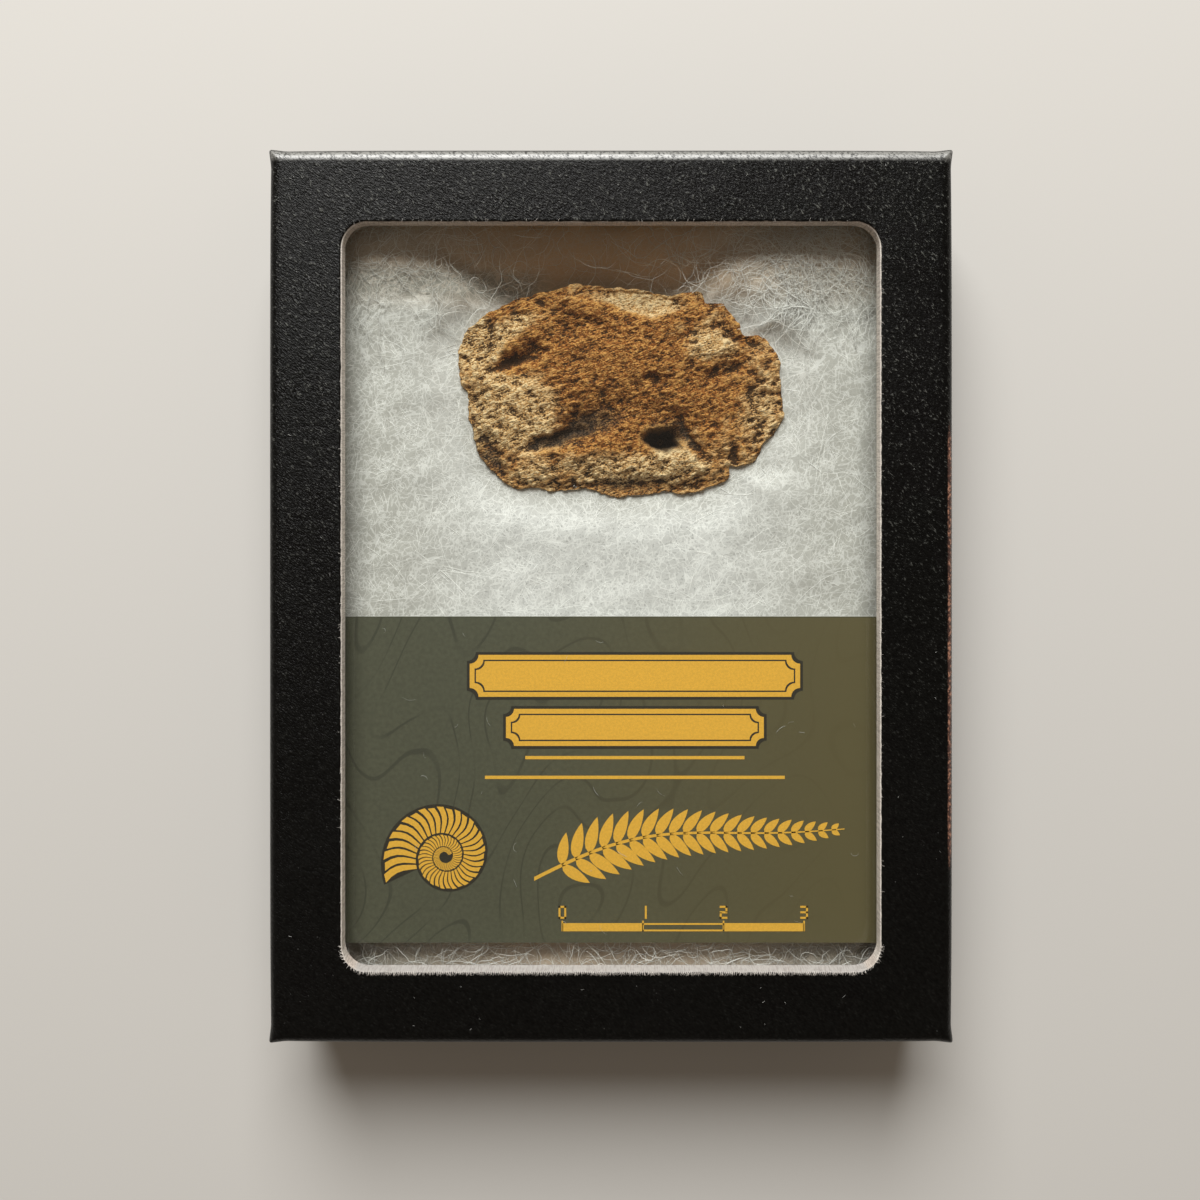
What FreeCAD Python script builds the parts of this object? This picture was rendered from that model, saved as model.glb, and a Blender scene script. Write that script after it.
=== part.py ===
"""A small Riker mount: a shallow two-piece paperboard specimen box with a glazed lid.

The lid telescopes over a tray.  Both are scored, folded greyboard blanks whose corners are
held by paper stays and which are covered in black leatherette paper.  The lid carries a glass
pane behind its window, held by four card strips.  The tray holds a batt of polyester fibre,
with a fossil bone plate pressed into it and a printed card lying on it.

Frame, in millimetres: the box lies on its back.  X runs left to right, Y from the foot of the
window to its head, +Z out through the glass.  The origin is the middle of the tray's underside.
"""

import FreeCAD
import Part
import Sketcher
import os

from FreeCAD import Vector

SHEET = "sizes"
TOUCH = 1e-6  # how near two coordinates lie when they count as one, in mm

# The driving dimensions: alias, size in mm, what it is.
SIZES = [
    ("box_width", 82.55, "outside of the lid, left to right"),
    ("box_length", 107.95, "outside of the lid, foot to head"),
    ("box_height", 19.05, "underside of the tray to the lid's face"),
    ("lid_reveal", 1.0, "height of the lid's rim above the tray's underside"),
    ("paper_thick", 0.2, "leatherette covering paper"),
    ("lid_board", 2.0, "greyboard of the lid"),
    ("tray_board", 1.4, "greyboard of the tray"),
    ("lid_fold_radius", 1.0, "outside of the folded edge round the lid's face"),
    ("tray_fold_radius", 0.8, "outside of the folded edge round the tray's floor"),
    ("window_border", 8.8, "edge of the lid's face to the window cut through its board"),
    ("window_radius", 3.0, "corners of the window"),
    ("window_setback", 0.15, "how far the paper stops short of the board's cut edge"),
    ("lid_turn_in", 8.0, "covering paper turned up inside the lid's rim"),
    ("tray_turn_in", 5.0, "covering paper turned down inside the tray's rim"),
    ("slit_width", 0.2, "open butt joint where two folded walls meet"),
    ("stay_thick", 0.15, "paper stay, pressed flush into the board"),
    ("stay_leg", 10.0, "reach of a stay along each wall"),
    ("glass_thick", 2.0, "glass pane"),
    ("glass_play", 0.3, "gap between the pane and each wall"),
    ("strip_width", 3.0, "retaining strip, wall to inner edge"),
    ("strip_thick", 1.5, "retaining strip, along the depth of the box"),
    ("slide_play", 0.35, "gap between the lid and the tray, each side"),
    ("seat_gap", 0.1, "gap between the tray's rim and the strips above it"),
    ("lining_thick", 0.15, "white paper on the tray's floor"),
    ("lining_play", 0.4, "gap between the lining and each wall"),
    ("fill_play", 0.3, "gap between the fibre batt and whatever surrounds it"),
    ("fill_corner", 4.0, "upright corners of the batt"),
    ("fill_round", 0.7, "soft upper edges of the batt"),
    ("card_length", 40.5, "printed card, foot to head"),
    ("card_thick", 0.3, "printed card"),
    ("card_play", 1.0, "gap between the card and the strip at each side"),
    ("card_margin", 1.85, "foot of the window to the foot of the card"),
    ("air_gap", 0.25, "gap between the glass and what lies under it"),
    ("bone_length", 40.8, "fossil, left to right"),
    ("bone_width", 26.8, "fossil, foot to head"),
    ("bone_thick", 10.0, "fossil, back to front"),
    ("bone_drop", 19.8, "head of the window to the middle of the fossil"),
    ("bone_shift", 1.6, "middle of the box to the middle of the fossil"),
    ("bone_play", 0.3, "gap between the fossil and the pocket it lies in"),
    ("pocket_flare", 2.5, "how far the pocket widens at the batt's surface"),
]

# Places and sizes that follow from the sheet, as expressions.  Each is one half width or half
# length from the middle of the box, or one height above the tray's underside.
PAPER = "sizes.paper_thick"
LID_X = "(sizes.box_width / 2)"
LID_Y = "(sizes.box_length / 2)"
LID_TOP = "sizes.box_height"
LID_RIM = "sizes.lid_reveal"
LID_CORE_X = f"({LID_X} - {PAPER})"
LID_CORE_Y = f"({LID_Y} - {PAPER})"
LID_CORE_TOP = f"({LID_TOP} - {PAPER})"
LID_CORE_RIM = f"({LID_RIM} + {PAPER})"
LID_HOLLOW_X = f"({LID_CORE_X} - sizes.lid_board)"
LID_HOLLOW_Y = f"({LID_CORE_Y} - sizes.lid_board)"
LID_LINED_X = f"({LID_HOLLOW_X} - {PAPER})"
LID_LINED_Y = f"({LID_HOLLOW_Y} - {PAPER})"
GLASS_TOP = f"({LID_CORE_TOP} - sizes.lid_board)"
GLASS_UNDER = f"({GLASS_TOP} - sizes.glass_thick)"
STRIP_UNDER = f"({GLASS_UNDER} - sizes.strip_thick)"
STRIP_INNER_X = f"({LID_HOLLOW_X} - sizes.strip_width)"
STRIP_INNER_Y = f"({LID_HOLLOW_Y} - sizes.strip_width)"
LID_STAY_HEIGHT = f"({LID_TOP} - sizes.lid_fold_radius - {LID_CORE_RIM})"
WINDOW_X = f"({LID_X} - sizes.window_border)"
WINDOW_Y = f"({LID_Y} - sizes.window_border)"

TRAY_X = f"({LID_LINED_X} - sizes.slide_play)"
TRAY_Y = f"({LID_LINED_Y} - sizes.slide_play)"
TRAY_TOP = f"({STRIP_UNDER} - sizes.seat_gap)"
TRAY_CORE_X = f"({TRAY_X} - {PAPER})"
TRAY_CORE_Y = f"({TRAY_Y} - {PAPER})"
TRAY_CORE_TOP = f"({TRAY_TOP} - {PAPER})"
TRAY_HOLLOW_X = f"({TRAY_CORE_X} - sizes.tray_board)"
TRAY_HOLLOW_Y = f"({TRAY_CORE_Y} - sizes.tray_board)"
TRAY_LINED_X = f"({TRAY_HOLLOW_X} - {PAPER})"
TRAY_LINED_Y = f"({TRAY_HOLLOW_Y} - {PAPER})"
TRAY_STAY_HEIGHT = f"({TRAY_CORE_TOP} - sizes.tray_fold_radius)"
TRAY_FLOOR = f"({PAPER} + sizes.tray_board)"
LINING_TOP = f"({TRAY_FLOOR} + sizes.lining_thick)"

CONTENTS_TOP = f"({GLASS_UNDER} - sizes.air_gap)"
CARD_UNDER = f"({CONTENTS_TOP} - sizes.card_thick)"
CARD_X = f"({STRIP_INNER_X} - sizes.card_play)"
CARD_FOOT = f"(sizes.card_margin - {WINDOW_Y})"
FILL_TOP = f"({CARD_UNDER} - sizes.fill_play)"
FILL_SHOULDER = f"({STRIP_UNDER} - sizes.fill_play)"
BONE_Y = f"({WINDOW_Y} - sizes.bone_drop)"

# The fossil's outline seen through the glass, as shares of its half length and half width.
BONE_OUTLINE = [
    (-1.01, 0.20), (-1.00, 0.36), (-0.97, 0.54), (-0.88, 0.69), (-0.75, 0.82), (-0.57, 0.91),
    (-0.23, 1.00), (0.19, 0.94), (0.30, 0.87), (0.45, 0.90), (0.66, 0.70), (0.73, 0.54),
    (0.84, 0.47), (0.98, 0.28), (0.98, -0.06), (1.00, -0.24), (0.87, -0.43), (0.85, -0.59),
    (0.65, -0.76), (0.45, -0.95), (0.09, -1.00), (-0.26, -0.92), (-0.65, -0.94),
    (-0.86, -0.65), (-0.94, -0.26),
]
# The fossil's cross-sections, back to front: share of its thickness, scale of the outline.
BONE_SECTIONS = [(0.0, 0.62), (0.14, 0.86), (0.40, 1.0), (0.66, 0.985), (0.88, 0.90), (1.0, 0.74)]
BONE_WIDEST = 2  # which of those sections is the widest
# Pits in the fossil's front: place and radii as shares of its half length and half width, depth
# as a share of its thickness, and slant in degrees.
BONE_PITS = [
    (0.25, -0.45, 0.08, 0.08, 0.30, 0),  # round vessel opening
    (-0.28, -0.36, 0.30, 0.14, 0.15, 28),  # long hollow beside it
    (-0.62, 0.32, 0.14, 0.09, 0.12, 30),  # groove near the left end
]

# The four corners of the box: the side of the middle that each is on, and its name.
CORNERS = {
    (-1, -1): "foot_left",
    (1, -1): "foot_right",
    (1, 1): "head_right",
    (-1, 1): "head_left",
}

doc = FreeCAD.newDocument("riker_mount")
sub_parts = []


def number(expression):
    """The value of an expression over the sheet, in mm."""
    value = doc.getObject(SHEET).evalExpression(expression)
    return float(getattr(value, "Value", value))


def make_sheet():
    """Writes the driving dimensions into a spreadsheet, each under its alias."""
    sheet = doc.addObject("Spreadsheet::Sheet", SHEET)
    for row, (alias, size, meaning) in enumerate(SIZES, 1):
        sheet.set(f"A{row}", alias)
        sheet.set(f"B{row}", str(size))
        sheet.setAlias(f"B{row}", alias)
        sheet.set(f"C{row}", meaning)
    doc.recompute()


def make_body(label):
    """An empty body that becomes the sub-part of that name."""
    body = doc.addObject("PartDesign::Body", label)
    body.Label = label
    sub_parts.append(body)
    return body


def make_cut(label, outer, core):
    """The sub-part of that name: what is inside the outer shape and outside the core."""
    cut = doc.addObject("Part::Cut", label)
    cut.Label = label
    cut.Base = outer
    cut.Tool = core
    sub_parts.append(cut)


def make_helper(label):
    """An empty body that is only cut from, or cuts, another one."""
    return doc.addObject("PartDesign::Body", label)


def make_sketch(body, name, height, loops):
    """A sketch parallel to XY at a height.  Each loop is a list of (x, y) expressions."""
    sketch = body.newObject("Sketcher::SketchObject", f"{body.Name}_{name}")
    plane = next(f for f in body.Origin.OriginFeatures if f.Role == "XY_Plane")
    sketch.AttachmentSupport = [(plane, "")]
    sketch.MapMode = "FlatFace"
    sketch.setExpression("AttachmentOffset.Base.z", height)
    for loop in loops:
        add_polygon(sketch, loop)
    return sketch


def add_polygon(sketch, corners):
    """Adds a closed polygon whose corners are bound to (x, y) expressions."""
    points = [Vector(number(x), number(y), 0) for x, y in corners]
    count = len(points)
    lines = [
        sketch.addGeometry(Part.LineSegment(points[i], points[(i + 1) % count]), False)
        for i in range(count)
    ]
    for i in range(count):
        joint = Sketcher.Constraint("Coincident", lines[i], 2, lines[(i + 1) % count], 1)
        sketch.addConstraint(joint)
    for line, point, (x, y) in zip(lines, points, corners):
        for kind, size, expression in (("DistanceX", point.x, x), ("DistanceY", point.y, y)):
            index = sketch.addConstraint(Sketcher.Constraint(kind, -1, 1, line, 1, size))
            sketch.setExpression(f"Constraints[{index}]", expression)


def rectangle(half_x, half_y):
    """The corners of a rectangle centred on the origin."""
    return [
        (f"-{half_x}", f"-{half_y}"),
        (half_x, f"-{half_y}"),
        (half_x, half_y),
        (f"-{half_x}", half_y),
    ]


def box_corners(left, right, foot, head):
    """The corners of a rectangle between four expressions."""
    return [(left, foot), (right, foot), (right, head), (left, head)]


def stay_corners(half_x, half_y, side_x, side_y):
    """The corners of one L-shaped stay at a corner of a core; the sides are 1 or -1."""
    leg, thick = "sizes.stay_leg", "sizes.stay_thick"
    steps = [("0", "0"), (leg, "0"), (leg, thick), (thick, thick), (thick, leg), ("0", leg)]
    return [
        (f"{side_x} * ({half_x} - {inward_x})", f"{side_y} * ({half_y} - {inward_y})")
        for inward_x, inward_y in steps
    ]


def slit_corners(hollow_x, hollow_y, core_y, side_x, side_y):
    """The corners of the open joint between the end of a short wall and a long wall."""
    return box_corners(
        f"{side_x} * ({hollow_x} - sizes.slit_width)",
        f"{side_x} * {hollow_x}",
        f"{side_y} * {hollow_y}",
        f"{side_y} * {core_y}",
    )


def add_pad(body, name, height, loops, length):
    """Pads a sketch upwards from a height."""
    sketch = make_sketch(body, name + "_sketch", height, loops)
    feature = body.newObject("PartDesign::Pad", f"{body.Name}_{name}")
    feature.Profile = sketch
    feature.setExpression("Length", length)
    return finish_feature(feature)


def add_pocket(body, name, height, loops, length, upwards):
    """Cuts a sketch upwards or downwards from a height."""
    before = body.Shape.Volume
    sketch = make_sketch(body, name + "_sketch", height, loops)
    feature = body.newObject("PartDesign::Pocket", f"{body.Name}_{name}")
    feature.Profile = sketch
    feature.Reversed = upwards
    feature.setExpression("Length", length)
    finish_feature(feature)
    if feature.Shape.Volume > before - TOUCH:
        raise RuntimeError(f"{feature.Name} cut nothing")
    return feature


def add_fillet(body, name, base, edges, radius):
    """Rounds the edges of a feature for which edges(edge) is true."""
    found = [f"Edge{i}" for i, edge in enumerate(base.Shape.Edges, 1) if edges(edge)]
    feature = body.newObject("PartDesign::Fillet", f"{body.Name}_{name}")
    feature.Base = (base, found)
    feature.setExpression("Radius", radius)
    return finish_feature(feature)


def finish_feature(feature):
    """Recomputes the document and hands the feature back."""
    doc.recompute()
    return feature


def lies_at(height):
    """A test for edges that lie flat at a height given by an expression."""
    level = number(height)

    def test(edge):
        box = edge.BoundBox
        return abs(box.ZMin - level) < TOUCH and abs(box.ZMax - level) < TOUCH

    return test


def stands_inside(half_x, half_y):
    """A test for upright edges no further out than a rectangle's own corners."""
    reach_x, reach_y = number(half_x) + TOUCH, number(half_y) + TOUCH

    def test(edge):
        box = edge.BoundBox
        upright = box.ZLength > TOUCH and box.XLength < TOUCH and box.YLength < TOUCH
        return upright and abs(box.XMin) < reach_x and abs(box.YMin) < reach_y

    return test


def add_stay_beds(body, height, core_x, core_y, length, upwards):
    """Presses the beds of the four corner stays into a board's walls."""
    loops = [stay_corners(core_x, core_y, *side) for side in CORNERS]
    add_pocket(body, "stay_beds", height, loops, length, upwards)


def make_lid_board():
    """The lid's folded blank: a face with the window, four walls and open corner joints."""
    body = make_body("lid_board")
    depth = f"({LID_CORE_TOP} - {LID_CORE_RIM})"
    block = add_pad(body, "block", LID_CORE_RIM, [rectangle(LID_CORE_X, LID_CORE_Y)], depth)
    add_fillet(body, "fold", block, lies_at(LID_CORE_TOP), f"sizes.lid_fold_radius - {PAPER}")
    hollow = f"({GLASS_TOP} - {LID_CORE_RIM})"
    add_pocket(
        body, "hollow", LID_CORE_RIM, [rectangle(LID_HOLLOW_X, LID_HOLLOW_Y)], hollow, True
    )
    window = add_pocket(
        body, "window", LID_CORE_TOP, [rectangle(WINDOW_X, WINDOW_Y)], "sizes.lid_board", False
    )
    add_fillet(
        body, "window_corners", window, stands_inside(WINDOW_X, WINDOW_Y), "sizes.window_radius"
    )
    slits = [slit_corners(LID_HOLLOW_X, LID_HOLLOW_Y, LID_CORE_Y, *side) for side in CORNERS]
    add_pocket(body, "slits", LID_CORE_RIM, slits, hollow, True)
    add_stay_beds(body, LID_CORE_RIM, LID_CORE_X, LID_CORE_Y, LID_STAY_HEIGHT, True)


def make_lid_stays():
    """Four paper stays, one round each corner of the lid's walls."""
    for side, corner in CORNERS.items():
        body = make_body(f"lid_corner_stay_{corner}")
        loop = stay_corners(LID_CORE_X, LID_CORE_Y, *side)
        add_pad(body, "strip", LID_CORE_RIM, [loop], LID_STAY_HEIGHT)


def make_lid_wrap():
    """The lid's covering paper: face, four sides, round the rim and up inside the walls."""
    outer = make_helper("lid_wrap_outside")
    depth = f"({LID_TOP} - {LID_RIM})"
    block = add_pad(outer, "block", LID_RIM, [rectangle(LID_X, LID_Y)], depth)
    add_fillet(outer, "fold", block, lies_at(LID_TOP), "sizes.lid_fold_radius")
    half_x = f"({WINDOW_X} + sizes.window_setback)"
    half_y = f"({WINDOW_Y} + sizes.window_setback)"
    window = add_pocket(outer, "window", LID_TOP, [rectangle(half_x, half_y)], PAPER, False)
    corners = "sizes.window_radius + sizes.window_setback"
    add_fillet(outer, "window_corners", window, stands_inside(half_x, half_y), corners)

    core = make_helper("lid_wrap_core")
    depth = f"({LID_CORE_TOP} - {LID_CORE_RIM})"
    block = add_pad(core, "block", LID_CORE_RIM, [rectangle(LID_CORE_X, LID_CORE_Y)], depth)
    add_fillet(core, "fold", block, lies_at(LID_CORE_TOP), f"sizes.lid_fold_radius - {PAPER}")
    lined = rectangle(LID_LINED_X, LID_LINED_Y)
    ring = [rectangle(LID_HOLLOW_X, LID_HOLLOW_Y), lined]
    add_pocket(core, "turn_in", LID_CORE_RIM, ring, f"(sizes.lid_turn_in - {PAPER})", True)
    add_pad(core, "mouth", LID_RIM, [lined], PAPER)
    make_cut("lid_wrap", outer, core)


def make_glass():
    """The pane, lying against the back of the lid's face."""
    body = make_body("glass_pane")
    half_x, half_y = f"({LID_HOLLOW_X} - sizes.glass_play)", f"({LID_HOLLOW_Y} - sizes.glass_play)"
    add_pad(body, "pane", GLASS_UNDER, [rectangle(half_x, half_y)], "sizes.glass_thick")


def make_strips():
    """Four card strips glued behind the pane: two full-length ones, two between them."""
    long_strip = box_corners(
        STRIP_INNER_X, LID_HOLLOW_X, f"-{LID_HOLLOW_Y}", LID_HOLLOW_Y
    )
    short_strip = box_corners(
        f"-{STRIP_INNER_X}", STRIP_INNER_X, STRIP_INNER_Y, LID_HOLLOW_Y
    )
    strips = {
        "glass_strip_right": long_strip,
        "glass_strip_left": [(f"-{x}", y) for x, y in long_strip],
        "glass_strip_head": short_strip,
        "glass_strip_foot": [(x, f"-{y}") for x, y in short_strip],
    }
    for name, loop in strips.items():
        add_pad(make_body(name), "strip", STRIP_UNDER, [loop], "sizes.strip_thick")


def make_tray_board():
    """The tray's folded blank: a floor, four walls and open corner joints."""
    body = make_body("tray_board")
    depth = f"({TRAY_CORE_TOP} - {PAPER})"
    block = add_pad(body, "block", PAPER, [rectangle(TRAY_CORE_X, TRAY_CORE_Y)], depth)
    add_fillet(body, "fold", block, lies_at(PAPER), f"sizes.tray_fold_radius - {PAPER}")
    hollow = f"({TRAY_CORE_TOP} - {TRAY_FLOOR})"
    add_pocket(
        body, "hollow", TRAY_CORE_TOP, [rectangle(TRAY_HOLLOW_X, TRAY_HOLLOW_Y)], hollow, False
    )
    slits = [slit_corners(TRAY_HOLLOW_X, TRAY_HOLLOW_Y, TRAY_CORE_Y, *side) for side in CORNERS]
    add_pocket(body, "slits", TRAY_CORE_TOP, slits, hollow, False)
    add_stay_beds(
        body, TRAY_CORE_TOP, TRAY_CORE_X, TRAY_CORE_Y, TRAY_STAY_HEIGHT, False
    )


def make_tray_stays():
    """Four paper stays, one round each corner of the tray's walls."""
    for side, corner in CORNERS.items():
        body = make_body(f"tray_corner_stay_{corner}")
        loop = stay_corners(TRAY_CORE_X, TRAY_CORE_Y, *side)
        add_pad(body, "strip", "sizes.tray_fold_radius", [loop], TRAY_STAY_HEIGHT)


def make_tray_wrap():
    """The tray's covering paper: underside, four sides, over the rim and down inside."""
    outer = make_helper("tray_wrap_outside")
    block = add_pad(outer, "block", "0", [rectangle(TRAY_X, TRAY_Y)], TRAY_TOP)
    add_fillet(outer, "fold", block, lies_at("0"), "sizes.tray_fold_radius")

    core = make_helper("tray_wrap_core")
    depth = f"({TRAY_CORE_TOP} - {PAPER})"
    block = add_pad(core, "block", PAPER, [rectangle(TRAY_CORE_X, TRAY_CORE_Y)], depth)
    add_fillet(core, "fold", block, lies_at(PAPER), f"sizes.tray_fold_radius - {PAPER}")
    lined = rectangle(TRAY_LINED_X, TRAY_LINED_Y)
    ring = [rectangle(TRAY_HOLLOW_X, TRAY_HOLLOW_Y), lined]
    add_pocket(core, "turn_in", TRAY_CORE_TOP, ring, f"(sizes.tray_turn_in - {PAPER})", False)
    add_pad(core, "mouth", TRAY_CORE_TOP, [lined], PAPER)
    make_cut("tray_wrap", outer, core)


def make_lining():
    """The white paper that covers the tray's floor."""
    body = make_body("tray_lining")
    half_x = f"({TRAY_LINED_X} - sizes.lining_play)"
    half_y = f"({TRAY_LINED_Y} - sizes.lining_play)"
    add_pad(body, "sheet", TRAY_FLOOR, [rectangle(half_x, half_y)], "sizes.lining_thick")


def make_card():
    """The printed card, lying on the batt under the lower half of the window."""
    body = make_body("label_card")
    loop = box_corners(
        f"-{CARD_X}", CARD_X, CARD_FOOT, f"({CARD_FOOT} + sizes.card_length)"
    )
    add_pad(body, "sheet", CARD_UNDER, [loop], "sizes.card_thick")


def bone_section(share, scale, grow):
    """A closed cross-section of the fossil at a share of its thickness, grown all round."""
    half_x = number("sizes.bone_length / 2") * scale + grow
    half_y = number("sizes.bone_width / 2") * scale + grow
    middle_x, middle_y = number("sizes.bone_shift"), number(BONE_Y)
    height = number(CONTENTS_TOP) - number("sizes.bone_thick") * (1 - share)
    curve = Part.BSplineCurve()
    curve.interpolate(
        Points=[Vector(middle_x + x * half_x, middle_y + y * half_y, height)
                for x, y in BONE_OUTLINE],
        PeriodicFlag=True,
    )
    return Part.Wire([curve.toShape()])


def make_pit(x, y, along, across, into, slant):
    """An ellipsoid that hollows one pit out of the fossil's front."""
    half_x, half_y = number("sizes.bone_length / 2"), number("sizes.bone_width / 2")
    stretch = FreeCAD.Matrix()
    stretch.scale(along * half_x, across * half_y, into * number("sizes.bone_thick"))
    pit = Part.makeSphere(1.0).transformGeometry(stretch)
    pit.rotate(Vector(0, 0, 0), Vector(0, 0, 1), slant)
    middle = Vector(number("sizes.bone_shift"), number(BONE_Y), number(CONTENTS_TOP))
    pit.translate(middle + Vector(x * half_x, y * half_y, 0))
    return pit


def make_bone():
    """The fossil: a loft through its cross-sections, with the larger pits cut out."""
    wires = [bone_section(share, scale, 0.0) for share, scale in BONE_SECTIONS]
    shape = Part.makeLoft(wires, True)
    for pit in BONE_PITS:
        shape = shape.cut(make_pit(*pit))
    feature = doc.addObject("Part::Feature", "fossil_specimen")
    feature.Label = "fossil_specimen"
    feature.Shape = shape
    sub_parts.append(feature)


def make_bone_pocket():
    """The hollow the fossil presses into the batt, flaring out at the batt's surface."""
    play = number("sizes.bone_play")
    back = [bone_section(share, scale, play) for share, scale in BONE_SECTIONS[:BONE_WIDEST + 1]]
    foot = back[0].copy()
    foot.translate(Vector(0, 0, -play))
    head = bone_section(1.0, 1.0, play + number("sizes.pocket_flare"))
    feature = doc.addObject("Part::Feature", "fossil_pocket")
    feature.Shape = Part.makeLoft([foot] + back + [head], True)
    return feature


def make_fill():
    """The polyester batt: it fills the tray, bulges up inside the strips, and is dented."""
    block = make_helper("fill_block")
    play = "sizes.fill_play"
    lower = rectangle(f"({TRAY_LINED_X} - {play})", f"({TRAY_LINED_Y} - {play})")
    crown = rectangle(f"({STRIP_INNER_X} - {play})", f"({STRIP_INNER_Y} - {play})")
    add_pad(block, "lower", LINING_TOP, [lower], f"({FILL_SHOULDER} - {LINING_TOP})")
    top = add_pad(block, "crown", LINING_TOP, [crown], f"({FILL_TOP} - {LINING_TOP})")
    upright = stands_inside(TRAY_LINED_X, TRAY_LINED_Y)
    rounded = add_fillet(block, "corners", top, upright, "sizes.fill_corner")
    add_fillet(block, "soft_edges", rounded, lies_at(FILL_TOP), "sizes.fill_round")
    make_cut("fibre_fill", block, make_bone_pocket())


def check_and_export():
    """Stops on any failed object or bad shape, then writes one STEP file per sub-part."""
    doc.recompute()
    for item in doc.Objects:
        if {"Invalid", "Error"} & set(item.State):
            raise RuntimeError(f"{item.Label} failed: {item.State}")
    for item in sub_parts:
        if item.Shape.isNull() or not item.Shape.isValid():
            raise RuntimeError(f"{item.Label} has a bad shape")
    os.makedirs("parts", exist_ok=True)
    for item in sub_parts:
        item.Shape.exportStep(f"parts/{item.Label}.step")
        print(f"{item.Label}: {len(item.Shape.Solids)} solid, {item.Shape.Volume:.1f} mm3")


make_sheet()
make_lid_board()
make_lid_stays()
make_lid_wrap()
make_glass()
make_strips()
make_tray_board()
make_tray_stays()
make_tray_wrap()
make_lining()
make_card()
make_bone()
make_fill()
check_and_export()
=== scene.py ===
"""Dresses the small Riker mount: covered board box, glazed lid, fibre fill, fossil and card.

Lengths are in metres where nothing else is said, in the frame of the packed model: +Z out
through the glass, +Y towards the head of the window.  MM turns millimetres into metres.
"""

import functools
import math

import bmesh
import bpy
import numpy as np
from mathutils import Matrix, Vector, noise


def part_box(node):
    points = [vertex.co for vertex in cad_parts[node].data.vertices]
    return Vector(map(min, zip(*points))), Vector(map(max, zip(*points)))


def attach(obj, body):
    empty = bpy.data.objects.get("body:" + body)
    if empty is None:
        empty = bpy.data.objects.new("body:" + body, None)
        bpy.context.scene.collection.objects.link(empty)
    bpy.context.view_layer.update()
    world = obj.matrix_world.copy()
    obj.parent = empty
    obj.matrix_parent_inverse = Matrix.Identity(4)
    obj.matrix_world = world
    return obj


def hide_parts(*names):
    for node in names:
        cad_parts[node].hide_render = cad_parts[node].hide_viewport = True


bl_info = {
    "name": "Fossil Riker Mount",
    "version": (1, 0, 0),
    "blender": (4, 5, 0),
    "location": "3D View > Sidebar > Riker Mount",
    "description": "Builds the visible pieces of a glazed specimen box with a fossil and its card",
    "category": "Object",
}

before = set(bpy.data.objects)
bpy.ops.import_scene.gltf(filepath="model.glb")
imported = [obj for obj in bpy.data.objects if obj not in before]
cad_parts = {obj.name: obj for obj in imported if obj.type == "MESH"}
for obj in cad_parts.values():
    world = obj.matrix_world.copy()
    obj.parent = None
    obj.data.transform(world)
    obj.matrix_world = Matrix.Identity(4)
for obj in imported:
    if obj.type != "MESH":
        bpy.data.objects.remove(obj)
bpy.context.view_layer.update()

MM = 0.001
SEED = 41

# The boxes of the packed solids that the pieces take their places from.
LID_LOW, LID_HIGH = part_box("lid_wrap")
TRAY_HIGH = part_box("tray_wrap")[1]
GLASS_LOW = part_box("glass_pane")[0]
FILL_LOW, FILL_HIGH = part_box("fibre_fill")
BONE_LOW, BONE_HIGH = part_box("fossil_specimen")
CARD_LOW, CARD_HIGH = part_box("label_card")


def linear(code):
    """A linear colour from an sRGB hex code."""
    shares = [int(code[i : i + 2], 16) / 255 for i in (1, 3, 5)]
    return tuple(s / 12.92 if s <= 0.04045 else ((s + 0.055) / 1.055) ** 2.4 for s in shares)


def length(name, description, default_mm):
    """A length property whose default is given in millimetres."""
    return bpy.props.FloatProperty(
        name=name, description=description, default=default_mm * MM, unit="LENGTH", precision=5
    )


def colour(name, description, code):
    """A colour property whose default is an sRGB hex code."""
    return bpy.props.FloatVectorProperty(
        name=name, description=description, default=linear(code), subtype="COLOR", min=0, max=1
    )


class RIKER_PG_box(bpy.types.PropertyGroup):
    """Sizes and colours of the covered board box."""

    border: length("Border", "Edge of the lid's face to the window in the board", 8.8)
    window_radius: length("Window corner", "Corner radius of the window", 3.0)
    window_setback: length("Paper setback", "Gap from the paper's cut edge to the board's", 0.15)
    paper: length("Paper", "Thickness of the covering paper", 0.2)
    lid_board: length("Lid board", "Thickness of the lid's greyboard", 2.0)
    tray_board: length("Tray board", "Thickness of the tray's greyboard", 1.4)
    lid_fold: length("Lid fold", "Outside radius of the folded edge of the lid's face", 1.45)
    tray_fold: length("Tray fold", "Outside radius of the folded edge of the tray's floor", 0.8)
    lid_turn_in: length("Lid turn-in", "Paper turned up inside the lid's rim", 8.0)
    tray_turn_in: length("Tray turn-in", "Paper turned down inside the tray's rim", 5.0)
    corner_tip: length("Corner tip", "How far the folded paper stands proud at a corner", 0.34)
    bow: length("Bow", "How far each side of the lid stands out at its middle", 0.15)
    black: colour("Leatherette", "Body of the black covering paper", "#090908")
    worn: colour("Worn paper", "Paper core that shows where the edges have rubbed", "#b08069")
    raw: colour("Raw board", "Cut edge of the greyboard", "#c2b7ad")


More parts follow.
